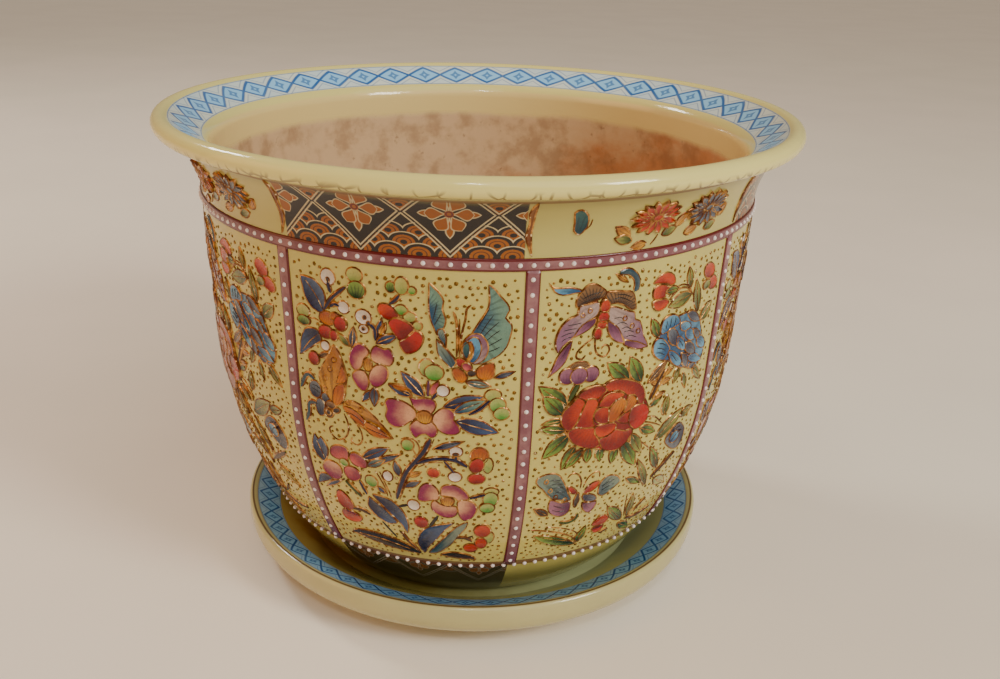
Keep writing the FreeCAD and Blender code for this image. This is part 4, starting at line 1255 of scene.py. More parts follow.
BLOSSOM_OVALS = (
    ("berry", ((-28.5, 142.3), 3.3, 3.5)), ("dark", ((-28.5, 141.2), 0.9, 1.1)),
    ("pale", ((-17, 145), 3.4, 3)), ("leaf", ((-16.3, 139), 3.8, 3.7)),
    ("berry", ((-22.3, 130.7), 2.6, 2.7)), ("pale", ((-41.5, 125.5), 3.3, 2.9)),
    ("leaf", ((-41.5, 121.5), 3.3, 2.2)), ("berry", ((-31.8, 112.3), 2.2, 2.2)),
    ("red", ((-37.8, 105.5), 2.7, 3)), ("orange", ((-30, 124.6), 3.8, 3), ((-26.3, 126), 2.2, 1.8)),
    ("red", ((-23.9, 123.6), 2.8, 3.3), ((-31, 118.5), 3.6, 2.9), ((-27.3, 117.8), 1.9, 2.4)),
    ("berry", ((-14, 128), 3.4, 3.2)), ("dark", ((-13.4, 128), 0.7, 0.8), ((-11.8, 125.8), 0.9, 0.9)),
    ("berry", ((-14, 123), 2.1, 1.9)), ("dark", ((-14, 123.2), 0.6, 0.6)),
    ("tan", ((-13, 107.6), 1.9, 2.9), ((-28, 107), 1, 1.1), ((-30, 102.5), 1, 1.1), ((-32.5, 98), 1, 1.1),
     ((-33, 93), 1, 1.1), ((-22.5, 88.7), 0.9, 1), ((-17, 86.6), 0.9, 1)),
    ("slate", ((-38.4, 91.2), 3.2, 4), ((-33.4, 88.4), 2.2, 2.4)), ("brown", ((-30.6, 86.2), 2.4, 1.8)),
    ("slate", ((-36.4, 83.4), 2.6, 4.2)), ("brown", ((-32.4, 82), 2.4, 2.6)),
    ("dark", ((-32.4, 82), 1.2, 1.3), ((-28.6, 83.6), 2, 1.3, 30)),
    ("pale", ((4.6, 130.4), 2.6, 2.2), ((7.5, 127), 1.9, 1.9)), ("bud", ((1.3, 133), 2.6, 2.2)),
    ("leaf", ((-2.5, 142), 2.1, 2.3)), ("pale", ((1.7, 143), 2.7, 3.6)), ("bud", ((5.6, 141.3), 1.7, 1.7)),
    ("teal", ((25.9, 118.4), 1.7, 3.8)), ("red", ((24.2, 112.4), 2.6, 1.9, -40)),
    ("rose", ((26.4, 110.9), 2.2, 1.7, -40)), ("dark", ((28.2, 108.4), 1.9, 1.4)),
    ("tan", ((10, 87.6), 3.2, 3)), ("pale", ((11, 109.5), 3.2, 3.9)), ("bud", ((13.8, 107.7), 3.8, 3.5)),
    ("berry", ((17.2, 100), 2.6, 2.6)), ("pale", ((36.7, 98.5), 3.3, 2.7)),
    ("bud", ((38.6, 94.2), 3.3, 3.3), ((40.3, 90.4), 3.3, 2.8)), ("berry", ((22.4, 72), 2.8, 2.6)),
    ("dark", ((22.4, 70.7), 1.3, 0.9)), ("berry", ((22, 59), 2.9, 2.6)), ("scarlet", ((13, 60.4), 2.7, 2.5)),
    ("orange", ((32, 70.2), 3.8, 4.2)), ("pale", ((35.6, 65.4), 2.2, 4)),
    ("red", ((31, 65.4), 3, 3.9, -20), ((31, 58.3), 3.7, 2.8)), ("bud", ((2.5, 73.4), 2.7, 2.8)),
    ("tan", ((18.6, 45), 3, 2.7)), ("pale", ((37.5, 51), 3.3, 2.4)),
    ("bud", ((37.3, 47), 3.4, 4), ((36, 42), 3.4, 2.9)), ("berry", ((3.2, 40.8), 2.9, 3.2)),
    ("red", ((5.8, 30.3), 3.4, 3.7)), ("pale", ((37.6, 22), 2.6, 4.2)),
    ("scarlet", ((34.4, 26.8), 4, 4.2), ((34, 18), 3, 3.8), ((29, 14), 3.6, 3.2)),
    ("bud", ((-27.8, 58), 2.3, 2.1), ((-15.5, 50.7), 3, 3.3)), ("berry", ((-7.3, 55.5), 2.3, 2.8)))
BLOSSOM_STROKES = (
    ("rib", (0.6, (-31.4, 127.6), (-34.5, 133.5), (-39, 139)),
     (0.6, (-34.6, 117), (-39, 113), (-43.4, 107.8)), (0.6, (-17.6, 40.6), (-12, 36.4), (-6.6, 30.4)),
     (0.8, (-30, 12.6), (-16, 12.6), (-2, 9)), (0.6, (-38.2, 57.4), (-39.4, 61.4), (-41, 65.6))),
    ("dark", (0.45, (31, 124.5), (33.5, 129), (36, 133)), (0.45, (32.2, 123.4), (35, 127), (38, 130)),
     (0.45, (33.4, 122), (36, 124.6), (38.6, 126.6)), (0.45, (34.4, 120), (37, 121.6), (39.4, 123.2)),
     (0.45, (34.4, 117.6), (36.6, 118.4), (38.6, 119.6)), (0.5, (30, 127), (32.5, 132), (34.6, 136)),
     (0.45, (13.4, 130), (14.4, 134), (15, 137)), (0.45, (14, 128), (15.6, 131), (16.6, 133)),
     (0.45, (-24.6, 84.4), (-19.6, 83.4), (-15.4, 80)), (0.45, (-14.6, 79), (-10, 77.6), (-6, 76.4)),
     (0.45, (-36.4, 90), (-38, 91), (-40, 91.4)), (0.45, (-36, 92), (-38, 93), (-40, 93))))
BLOSSOM_PANEL = (BLOSSOM_STEMS, BLOSSOM_LEAVES, BLOSSOM_OUTLINES, BLOSSOM_OVALS, BLOSSOM_STROKES)

# The peony panel: a red peony and a blue one, a lilac butterfly above and a grey one below.
PEONY_STEMS = (
    ("olive", (2.6, (-29, 101.5), (-30.6, 98), (-32.6, 94))),
    ("gold", (1.1, (11, 131.2), (16, 134.6), (21, 134.4), (25, 131.4)),
     (0.9, (10.6, 132.6), (16, 136.2), (22, 135), (26, 130))),
    ("brown", (1.8, (14, 99.6), (10.6, 94), (7, 86.6))), ("tan", (1.4, (17.4, 99.6), (13, 94), (8.6, 87))),
    ("brown", (2.4, (35, 50), (29, 45.6), (21.4, 40.4))), ("gold", (1.2, (29, 50), (27, 46), (22, 43))),
    ("steel", (2.6, (-15.4, 147.4), (-11, 147), (-7.6, 144), (-6.8, 140.6), (-7.6, 138.4))),
    ("gold", (1, (-24.4, 120.6), (-27.4, 118.6), (-30.4, 115.6), (-30.8, 113), (-28.5, 112), (-27, 113.6)),
     (1, (-23.4, 120.6), (-23.2, 117), (-22, 113.6), (-19, 111.8), (-16.8, 113.5), (-17, 116), (-19, 117),
      (-20.4, 115.4)), (0.9, (-21.8, 48), (-22, 52), (-24, 56), (-27, 57.2), (-29, 55.4)),
     (0.9, (-20.4, 48), (-19, 53), (-16, 55.5), (-13.5, 55), (-13, 52.4))),
    ("olive", (2, (-20, 31.6), (-20.4, 28.6), (-24, 26.8), (-28.4, 28))),
    ("gold", (1.1, (-14, 9.6), (-19, 15), (-27, 20), (-36, 23.4), (-42, 25)),
     (0.8, (-13, 11), (-17, 17.6), (-25, 22.6), (-35, 26))),
    ("brown", (1.8, (15, 15.6), (24, 13.4), (35, 14.8)), (1.4, (19, 19), (25, 26)),
     (1.8, (4, 13), (-1, 11.6))),
    ("gold", (0.9, (18, 36), (12, 45), (5.4, 57)), (0.9, (24, 44.6), (18.6, 54), (10, 63), (2, 68.6)),
     (0.9, (3, 77), (10, 74.6), (17, 71)), (0.9, (6, 78.4), (12, 77), (17.6, 72)),
     (0.8, (-1, 70), (3.6, 62), (6, 54)), (0.9, (9, 17), (2, 24), (-4, 33)),
     (0.8, (13, 18), (10, 27), (8, 35)), (0.9, (23, 40), (30, 34), (38, 29))))
PEONY_LEAVES = (
    ("leaf", ((-33, 92), (-45.4, 101.6), 6.5), ((-34.6, 88), (-43.4, 97), 7),
     ((-34.6, 85.2), (-43.4, 84), 3.6), ((-33, 80.4), (-44, 82.2), 4.6), ((-31, 78.4), (-42, 67.4), 7),
     ((-28, 72), (-33, 60.6), 5), ((-24, 70), (-31.4, 61), 5), ((-21.4, 70), (-21.4, 62), 4.4),
     ((-16, 69), (-15, 61.4), 4.4), ((-8, 68), (-8.6, 58.6), 4.6), ((-5, 69.6), (5.6, 53.4), 7)),
    ("olive", ((-0.6, 72), (7.6, 59.6), 5.4)),
    ("leaf", ((4, 73.6), (14, 69), 4.6), ((-5.4, 99), (-17, 108.8), 6.8), ((1, 96.6), (-6.2, 109.6), 6.6),
     ((8.6, 135.2), (16, 135.4), 3.6)),
    ("olive", ((24.6, 131), (11, 128), 6.4), ((23.6, 134), (21, 143.6), 4), ((31, 121.4), (27, 137), 5),
     ((34, 116.6), (41.6, 123.4), 6.4)),
    ("leaf", ((7.8, 115.4), (2.6, 124.8), 4.6), ((7.6, 83), (14.6, 86.4), 3)),
    ("olive", ((17.6, 76), (18.4, 86), 5)),
    ("tan", ((9, 86.4), (16, 88.4), 2.6), ((12, 92.6), (19, 94), 2.8), ((13, 96.4), (19.6, 98.6), 2.6),
     ((11, 93), (6.4, 95.6), 2.6)),
    ("brown", ((4.6, 95), (15, 103.6), 4.2)),
    ("olive", ((15, 64), (31.6, 75), 8), ((30.4, 71), (39.4, 73.6), 4.6), ((27, 94), (30, 85.4), 3),
     ((33.6, 95), (42, 86), 4), ((23.6, 98), (20.6, 90.6), 4)),
    ("leaf", ((3, 46.6), (14, 40), 3.4)), ("pale", ((24.6, 38), (37.6, 30.6), 5.6)),
    ("tan", ((-11, 142.6), (-17.2, 147), 2)), ("dark", ((-35.4, 34), (-42.8, 39.2), 3.6)),
    ("leaf", ((-14.4, 9), (-12.4, 21), 5.4), ((11.4, 16.6), (-3, 31), 6.4), ((11, 13.6), (24, 4.6), 5)),
    ("olive", ((15.6, 17), (12.4, 34), 5)), ("leaf", ((23.4, 45), (13.6, 61), 5)),
    ("olive", ((19, 36.6), (7, 56.4), 4.6)))
PEONY_OUTLINES = (
    ("azure", ((16, 108), (40, 126), (5, 112), (8, 116), (8, 120), (12, 124.2), (18, 122.5), (24, 123),
      (31, 120.5), (34, 116), (37, 109), (40.5, 104), (38.5, 96.5), (32, 94.5), (27, 96.5), (22, 98),
      (15, 103), (10, 104.5))),
    ("peony", ((-14, 60), (-14, 84), (-31, 94), (-26, 98), (-18, 99), (-9, 100), (0, 96), (3, 90), (6.5, 84),
      (6, 78), (-1, 74), (-5, 68), (-12, 67), (-20, 70), (-29, 74), (-34.6, 83), (-34, 90))),
    ("azure", ((-31, 141), (-42, 143), (-43.4, 145.4), (-41, 143.4), (-36, 143.2), (-32, 142.4),
      (-30.4, 140.8), (-34, 140.4), (-38, 140.2), (-41.4, 141.6))),
    ("brown", ((-26, 137), (-26, 144), (-32.5, 138.5), (-30.5, 141.5), (-28, 143.7), (-25, 143.5),
      (-22, 141.5), (-20.5, 140), (-21, 137.8), (-23.5, 137), (-26, 136.5), (-29, 135), (-32.4, 134.8)),
     ((-14, 134), (-12, 140), (-20.5, 139.8), (-16, 139.8), (-12, 139), (-9, 138.5), (-7.5, 136),
      (-6.4, 131), (-9.5, 131), (-12, 133), (-15, 134.5), (-18.5, 134.5), (-20.5, 137))),
    ("lilac", ((-24, 133), (-38, 120), (-31.5, 135), (-27, 135.8), (-24, 136.3), (-22.8, 133.5),
      (-24, 130.3), (-26.5, 128.8), (-29.5, 127), (-31.5, 124), (-33.5, 121.5), (-36.5, 119), (-38.5, 116),
      (-40, 119.5), (-39.5, 124), (-37.5, 128), (-34.5, 130.5), (-32, 131.5))),
    ("plum", ((-25, 129), (-33, 123), (-24.5, 129.8), (-28, 128.5), (-31, 126), (-32.8, 122.5), (-30.5, 123),
      (-27, 125), (-24.3, 127.3)),
     ((-34, 120), (-41, 106), (-33, 120.5), (-35.5, 118.8), (-38, 115.5), (-40, 111), (-42, 105.5),
      (-39.5, 107), (-36.5, 110), (-34.3, 114))),
    ("lilac", ((-18, 130), (0, 114), (-18.5, 132.8), (-15.5, 133), (-12, 131.5), (-9, 130), (-6.3, 129),
      (-5.8, 126), (-3.5, 125), (-1.8, 121.5), (-0.5, 118), (1.5, 115), (1.8, 112.3), (-3, 114), (-9, 116),
      (-11, 119), (-14, 123), (-18.3, 127.5))),
    ("plum", ((-18, 127), (-11, 117), (-18.7, 127), (-16, 126), (-13.5, 123.5), (-11.5, 120), (-10.5, 116.8),
      (-13.5, 117.5), (-16.5, 120), (-18.5, 123.5)),
     ((-10, 117), (1, 113), (-9.8, 118), (-6, 116.8), (-2, 115.3), (1.7, 113), (-2, 112.3), (-6, 113.5),
      (-10, 115.5))),
    ("brown", ((-30, 108), (-30, 111), (-34.5, 108.5), (-32, 110.5), (-29, 111), (-26, 110.5),
      (-24.8, 108.2), (-27, 107.4), (-30, 108.6), (-33, 107.4))),
    ("peony", ((-22, 93), (-22, 100), (-29, 95.6), (-26.5, 98.4), (-22, 99.5), (-18, 99), (-16.4, 96.6),
      (-18, 95), (-20, 93.4), (-22.5, 93.8), (-25.6, 93.6)),
     ((-8, 92), (-2, 99), (-17.5, 98.8), (-14, 100.8), (-9, 100.5), (-4, 98.6), (0, 96.5), (2.4, 93.5),
      (3.6, 90), (2.5, 86.4), (0.2, 87), (-1.5, 90), (-3, 91.8), (-6, 92.4), (-8, 94), (-11, 95.3),
      (-15, 95.4)),
     ((-28, 88), (-35.5, 87), (-29.5, 95.2), (-27, 94.4), (-25.6, 92), (-26.5, 90), (-27.5, 87), (-28.5, 84),
      (-30, 81.5), (-32, 80.3), (-34.5, 82.5), (-35.6, 86), (-34.6, 90), (-32, 92.2))),
    ("scarlet", ((-27, 83), (-22, 92), (-24.8, 94), (-21, 93.5), (-19.5, 91), (-20.5, 88.5), (-21.5, 86),
      (-21, 83), (-20, 80.8), (-24, 80.5), (-27, 81), (-29, 82.5), (-28, 85), (-27, 88), (-26, 91)),
     ((-13, 90), (-12, 95), (-19, 91.4), (-17, 94), (-14, 95), (-10, 94.7), (-7.4, 93), (-9, 91.8),
      (-12, 91), (-14, 88.6), (-17, 89), (-19.4, 89.6))),
    ("peony", ((-16, 88), (-18, 82), (-21.2, 86.5), (-19.5, 88.5), (-17.5, 89), (-15, 88.5), (-14.3, 86),
      (-14, 83), (-14.3, 81.3), (-17, 81.2), (-19.5, 82.5), (-21, 84.5))),
    ("orange", ((-9, 91), (-12, 82), (-14, 87.5), (-12.5, 90), (-10, 91.5), (-8, 91.5), (-6.5, 90), (-6, 88),
      (-7.5, 85.5), (-9, 83), (-10.5, 81.5), (-13.8, 81.2), (-14.3, 84)),
     ((-2, 91), (-6, 85), (-6, 91.5), (-3.5, 91.8), (-1.5, 90.3), (-0.8, 88), (-2.5, 86), (-4, 84.5),
      (-6.2, 84), (-7, 85.5), (-5.8, 88))),
    ("red", ((-5, 82), (6, 80), (-3, 85.5), (-0.5, 86.2), (3, 86.5), (5.6, 84.5), (6.9, 81.5), (6.2, 78),
      (3.6, 75.4), (0.4, 74.6), (-1.4, 76), (-3.4, 78.4), (-4, 82))),
    ("peony", ((-2, 85), (-9, 81.5), (-10, 81.3), (-6.5, 84), (-3.4, 85), (-4, 82), (-3.6, 79), (-7, 79.4)),
     ((-22, 80), (-28, 71), (-31.8, 80.4), (-28, 81.5), (-24, 80.5), (-20.4, 80), (-20, 77), (-18, 74.5),
      (-17, 71), (-20, 69.8), (-23, 70.5), (-26.5, 72), (-29.4, 74), (-31.8, 77.4))),
    ("scarlet", ((-15, 80), (-15, 74.5), (-20, 80.4), (-15, 80.9), (-11, 80.6), (-9.7, 78.5), (-11, 76.4),
      (-13.5, 75), (-17, 74.6), (-19.4, 76.6))),
    ("peony", ((-9, 77), (-8, 68), (-17.4, 74), (-13.4, 74.8), (-10.4, 77), (-8, 76.4), (-5, 75.2),
      (-2.5, 75.6), (-0.6, 74), (-2, 70.8), (-5, 67.6), (-8.5, 66.2), (-12, 66.8), (-15.4, 68.8))),
    ("scarlet", ((5, 138), (6, 144), (1.3, 140), (4, 142.6), (8, 143.7), (12, 141.8), (13.2, 138.4),
      (10.5, 137.4), (8, 139), (4, 139.3)),
     ((8, 134), (2, 138), (1.6, 135), (2, 138), (5, 139), (8.5, 138), (10, 136.5), (8, 135.5), (8.5, 133.4),
      (6, 132.8), (3, 133)),
     ((6, 133), (6, 127.6), (1.8, 132), (5, 132.6), (9, 132.2), (10.4, 130.5), (8.5, 128.4), (5.5, 127.6),
      (3, 129))),
    ("azure", ((14, 117), (10, 124), (8, 119.6), (9, 122.8), (12, 124.2), (15.5, 123.9), (18.2, 122),
      (19, 119.4), (17, 118.4), (14, 118), (12, 117), (8.6, 116.6)),
     ((14, 109), (5, 112), (5, 112.5), (6.5, 114.7), (9.5, 114.6), (12.5, 112), (14.7, 109), (13.6, 106.4),
      (11.5, 104.2), (8, 105.8), (5.3, 109))),
    ("slate", ((17, 110), (13, 118), (12, 117), (15, 118.2), (18, 115.5), (19.6, 112), (18.5, 109.4),
      (16, 110), (13.3, 112.6))),
    ("azure", ((20, 115), (25, 119), (19.6, 118.6), (23, 119.2), (26.2, 117.6), (26.7, 115.4), (23, 114.6),
      (20.3, 116)),
     ((15, 107), (23, 99), (13.8, 107.8), (17, 107.2), (21, 104.2), (24, 100.6), (22, 98.5), (18.5, 100.3),
      (15.3, 104)),
     ((19, 112), (24, 106), (18.3, 113.2), (21, 112.6), (24.2, 109), (24.2, 105.8), (20.5, 107.3),
      (18.3, 110)),
     ((25, 112), (30, 110), (23.8, 114.7), (27, 115.2), (30.2, 112), (30.2, 108.8), (27, 109.4),
      (24.3, 111.5))),
    ("slate", ((25, 107), (32, 103), (24.3, 108.6), (28, 108.7), (31.7, 105), (32.2, 101.8), (28, 102.8),
      (24.8, 105.4))),
    ("azure", ((34, 108), (40, 104), (32.8, 109.7), (37, 108.7), (40.2, 105), (39.7, 102.3), (36, 103.3),
      (33.3, 106)),
     ((29, 101), (38, 98), (28.8, 102), (33, 101.7), (37, 99.2), (39.2, 96.8), (35, 96.3), (30, 98.3),
      (27.8, 100.4))),
    ("slate", ((24, 122), (33, 118), (23.3, 122.6), (27, 123.2), (31, 120.2), (33.2, 116.8), (29, 117.3),
      (25, 119.8)),
     ((24, 104), (28, 98), (22.6, 104.4), (26, 103.4), (28, 100.2), (27.6, 96.8), (24.6, 98.6)),
     ((30, 113), (34, 109), (28.6, 114), (32, 113.4), (34.6, 110.6), (33.2, 108.6), (30.4, 110.4)),
     ((33, 62), (25, 55), (23.3, 60), (24.3, 63.7), (28, 66.7), (32, 67.2), (36, 64.2), (38.7, 59.5),
      (38.2, 54.3), (35.5, 51.8), (31, 53.3), (27, 56.3))),
    ("steel", ((-27, 44), (-42, 57), (-43.3, 55), (-42.5, 57.3), (-39, 58.8), (-35, 58.6), (-32.5, 56.6),
      (-30.5, 53), (-29, 50), (-27.5, 46.5), (-25.4, 42.4), (-28.5, 41.9), (-32, 43.4), (-35, 44.4),
      (-37.5, 47), (-39.5, 50), (-42, 52.5))),
    ("plum", ((-26, 39), (-35, 40), (-35.5, 43.5), (-33, 42.8), (-30, 41), (-26, 41.2), (-25, 38),
      (-25.5, 34), (-28, 32.3), (-31.5, 33), (-35, 36), (-36, 40))),
    ("red", ((-24, 45), (-28, 50), (-28.3, 49.8), (-26.3, 49.8), (-24, 47.5), (-22.6, 45.4), (-24, 44.9),
      (-26.7, 46.5))),
    ("scarlet", ((-19, 45), (-13, 50), (-19.7, 45.3), (-18, 48.5), (-14.5, 50.2), (-12.3, 49.6), (-13, 47),
      (-15.5, 44.9), (-18.5, 43.8))),
    ("steel", ((-12, 44), (-2, 49), (-12, 45.5), (-11.5, 49), (-9, 51.6), (-5, 51.1), (-2, 49), (-0.4, 46),
      (-3.5, 43.4), (-6.5, 41), (-9, 40.2), (-11.5, 42))),
    ("slate", ((-19, 41), (-12, 40), (-19.7, 43.7), (-16, 43.2), (-12.5, 41), (-11.8, 38.4), (-15.5, 38.3),
      (-19, 40.3))),
    ("plum", ((-18, 37), (-13, 33), (-19, 38.5), (-15, 38), (-11.4, 37.5), (-11.8, 33.5), (-14.5, 31.3),
      (-17.7, 34))),
    ("leaf", ((-16, 10), (-40, 20), (-14.6, 8.2), (-20, 13), (-27, 17), (-34, 19.5), (-40.4, 20.6),
      (-36, 15.3), (-30, 11.8), (-23, 8.8))),
    ("scarlet", ((-4, 19), (-5, 26), (-8.6, 20), (-6.4, 24.6), (-2.4, 25.4), (0.8, 22.4), (0, 19),
      (-4, 18.4))),
    ("red", ((-4, 18), (-3, 13), (-7.4, 17.6), (-3.6, 18), (-0.4, 17.4), (-1, 14), (-4, 12.8),
      (-6.4, 14.6))))
PEONY_OVALS = (
    ("scarlet", ((-20.7, 134.2), 2.2, 2.8)), ("red", ((-21, 129.6), 2.4, 2.4)),
    ("scarlet", ((-21.4, 126.6), 2.2, 2)), ("red", ((-22.8, 122.8), 1.8, 2.6)),
    ("lilac", ((-27, 133), 0.9, 1), ((-29.8, 131.4), 0.8, 0.9), ((-11, 127.4), 0.9, 1),
     ((-7.2, 123.6), 0.9, 1), ((-4, 120.8), 0.9, 1)),
    ("plum", ((-34.2, 105.2), 3.3, 3.6), ((-24, 105), 3.6, 3.5), ((-29.3, 105), 3.7, 3.8)),
    ("scarlet", ((36, 138.5), 4.4, 3.4, -30), ((40, 132.4), 4.2, 3, -30)),
    ("olive", ((35, 132.5), 2.6, 2.2)), ("slate", ((32, 96), 2.4, 1.5)),
    ("azure", ((30, 60.4), 3.6, 3.2, -30)),
    ("steel", ((-38.8, 54.8), 0.9, 1), ((-36.4, 49.4), 0.9, 1), ((-33.4, 45.4), 0.9, 1),
     ((-28.6, 43), 0.9, 1)),
    ("dark", ((-22.4, 41), 1.4, 4.6)))
PEONY_STROKES = (
    ("dark", (0.45, (-37.6, 121), (-35.6, 122.2), (-33.4, 122.6)),
     (0.45, (-38, 123), (-35.4, 124), (-33, 124.4)), (0.45, (-37, 125.4), (-34.6, 125.8), (-31.6, 126)),
     (0.45, (-35.4, 127.6), (-32.6, 127.8), (-30, 128.2)),
     (0.45, (-10.8, 121.4), (-8.4, 121.6), (-6, 120.6)), (0.45, (-12, 123), (-9.6, 123.4), (-7.6, 122)),
     (0.45, (-14.4, 125.4), (-12, 125.8), (-9.6, 124.6)), (0.45, (-16, 128), (-13.6, 128.2), (-11.6, 127.2)),
     (0.45, (-9.6, 119), (-7.4, 119.4), (-4.6, 118.2)), (0.5, (-31, 136), (-27.4, 137.4), (-23, 138.6)),
     (0.5, (-30, 138.2), (-26.6, 139.6), (-22.6, 140.2)), (0.5, (-18, 136.4), (-14, 136.8), (-8.6, 134.2)),
     (0.5, (-16.6, 138.2), (-13, 138), (-9.4, 136.4)), (0.45, (-30.4, 50), (-33, 50.8), (-36, 50.4)),
     (0.45, (-31, 52.2), (-34, 53), (-37, 52.4)), (0.45, (-32.4, 54.4), (-35, 55.2), (-37.4, 55)),
     (0.45, (-29.4, 47.4), (-32, 48), (-34.6, 47.6)), (0.45, (-27.6, 37.6), (-30, 38), (-33.4, 39.8)),
     (0.45, (-27.4, 35.6), (-30, 35.6), (-33.6, 37)), (0.45, (-10, 43.6), (-7, 45.4), (-4, 46)),
     (0.45, (-10.4, 46), (-7.4, 48), (-4.4, 48.4)), (0.5, (7.4, 110.6), (9.6, 110), (12, 108.6)),
     (0.5, (7, 108.6), (9.4, 108), (11.8, 106.6)), (0.5, (8, 112.6), (10, 112.2), (12.2, 110.8)),
     (0.5, (10.6, 118.6), (11, 120.4), (10.8, 122.2)), (0.5, (13, 119), (13.4, 121), (13.2, 122.8)),
     (0.5, (15.4, 119.4), (16, 121), (16, 122.4)), (0.5, (16, 105.6), (18, 104), (20, 101.6)),
     (0.5, (20, 111), (21.6, 109.6), (22.8, 107.6))),
    ("rib", (0.6, (-16.4, 10.6), (-26, 14.4), (-38, 19.6)), (0.6, (-28, 62), (-25, 66), (-24.4, 69))),
    ("brown", (0.6, (28, 58), (31, 62), (35, 62.4)), (0.6, (27, 61), (29, 64.4), (33, 65))))
PEONY_PANEL = (PEONY_STEMS, PEONY_LEAVES, PEONY_OUTLINES, PEONY_OVALS, PEONY_STROKES)


def lay_panel(put, design):
    """Lays one panel's shapes, each over the ones before it."""
    ways = (put.stem, put.leaf, put.outline, put.oval, put.stroke)
    for way, rows in zip(ways, design):
        for look, *shapes in rows:
            for shape in shapes:
                way(look, *shape)


def lay_plain_neck(put):
    """The plain neck field's small butterfly and its two chrysanthemums among leaves."""
    put.outline("teal", (-35, 165), (-35, 176), (-37.5, 174.5), (-35, 176), (-32, 173), (-31.5, 168),
             (-34, 164.5), (-36.5, 166.5), (-36.5, 170))
    put.stroke("gold", 0.7, (-33, 165.5), (-30.5, 168), (-30, 171))
    put.stroke("gold", 0.8, (-3, 157), (-1, 159), (0, 161))
    for look, base, tip, width in (
            ("tan", (-13, 162), (-20, 166.5), 4), ("olive", (-12, 160), (-19.5, 161.5), 4),
            ("tan", (-5, 158), (-12, 156.6), 3.4), ("olive", (2, 160.5), (9, 163), 4),
            ("tan", (8, 163), (13.5, 169), 4), ("tan", (14, 159), (21, 161), 4),
            ("olive", (26, 159), (33, 161), 4), ("tan", (34, 163), (38, 168), 4)):
        put.leaf(look, base, tip, width, rib=False)
    florets = 14
    for look, middle, long in (("scarlet", Vector((-3, 169.2)), 7.6), ("slate", Vector((24, 169.2)), 8)):
        put.oval(look, middle, long, 0.7 * long)
        for floret in range(florets):
            angle = math.tau / florets * floret
            way = Vector((math.cos(angle) * 1.5, math.sin(angle)))
            put.leaf(look, middle + way * 1.2, middle + way * long, 3.2, rib=False)
        put.oval(look, middle, 2.4, 1.8)


def lay_brackets(put):
    """The gold bracket leaves at both ends of a painted neck field."""
    corners = ((49.3, 156.5), (47.5, 160), (46.2, 165), (47.3, 170), (46.6, 174), (47.6, 178), (49.6, 180),
               (49.2, 174), (48.6, 166))
    for side in (-1, 1):
        mirrored = [(side * across, up) for across, up in corners]
        put.outline("gold", (side * 49, 157), (side * 48, 180), *mirrored)


class PLANTER_OT_camera(bpy.types.Operator):
    """Stand the camera in front of the planter, looking down at it"""
    bl_idname = "planter.camera"
    bl_label = "Camera"

    def execute(self, context):
        view = settings("planter_camera")
        lens = bpy.data.cameras.new("front_view")
        lens.lens = view.lens
        lens.sensor_width = SENSOR_WIDTH
        lens.sensor_fit = "HORIZONTAL"
        camera = bpy.data.objects.new("front_view", lens)
        place = (view.distance * math.sin(view.turn), -view.distance * math.cos(view.turn), view.height)
        camera.matrix_world = (
            Matrix.Translation(place) @ Matrix.Rotation(view.turn - view.aside, 4, "Z")
            @ Matrix.Rotation(math.pi / 2 - view.down, 4, "X") @ Matrix.Rotation(view.roll, 4, "Z"))
        context.scene.collection.objects.link(camera)
        context.scene.camera = camera
        return {"FINISHED"}


class PLANTER_OT_stage(bpy.types.Operator):
    """Lay a pale floor and hang soft studio lights"""
    bl_idname = "planter.stage"
    bl_label = "Floor and lights"

    def execute(self, context):
        floor = bmesh.new()
        bmesh.ops.create_grid(floor, x_segments=8, y_segments=8, size=FLOOR_SIZE)
        made = finished("pale_floor", floor)
        paint = Paint("pale_floor")
        paint.coat(tint(250, 238, 220), None, 0.7)
        paint.shade(paint.noise(6, 3).over(0.5, 0.3), 0.05)
        made.data.materials.append(paint.finish())
        for name, (place, size, power, colour) in LAMPS.items():
            light = bpy.data.lights.new(name, "AREA")
            light.shape = "SQUARE"
            light.size = size
            light.energy = power
            light.color = colour
            lamp = bpy.data.objects.new(name, light)
            lamp.location = place
            lamp.rotation_euler = (LAMP_TARGET - Vector(place)).to_track_quat("-Z", "Y").to_euler()
            context.scene.collection.objects.link(lamp)
        glow = bpy.data.lights.new("room", "SUN")
        glow.energy = ROOM_LIGHT
        glow.angle = ROOM_ANGLE
        lamp = bpy.data.objects.new("room", glow)
        lamp.rotation_euler = ROOM_TURN
        context.scene.collection.objects.link(lamp)
        world = bpy.data.worlds.new("studio")
        world.use_nodes = True
        background = world.node_tree.nodes["Background"]
        background.inputs["Color"].default_value = tint(240, 216, 186)
        background.inputs["Strength"].default_value = WORLD_LIGHT
        context.scene.world = world
        return {"FINISHED"}


class PLANTER_OT_pot(bpy.types.Operator):
    """Turn the pot smooth and glaze it zone by zone"""
    bl_idname = "planter.pot"
    bl_label = "Pot"

    def execute(self, context):
        outline, wall = pot_outline(), pot_wall()
        pot = turned_piece("glazed_pot", outline, closed=True)
        pot.data.materials.append(pot_material(wall, glaze_changes(outline, wall)))
        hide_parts("cachepot")
        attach(pot, "pot")
        return {"FINISHED"}


class PLANTER_OT_saucer(bpy.types.Operator):
    """Turn the saucer smooth and glaze it"""
    bl_idname = "planter.saucer"
    bl_label = "Saucer"

    def execute(self, context):
        saucer = turned_piece("glazed_saucer", cut_outline("saucer"), closed=False)
        saucer.data.materials.append(saucer_material())
        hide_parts("saucer")
        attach(saucer, "saucer")
        return {"FINISHED"}


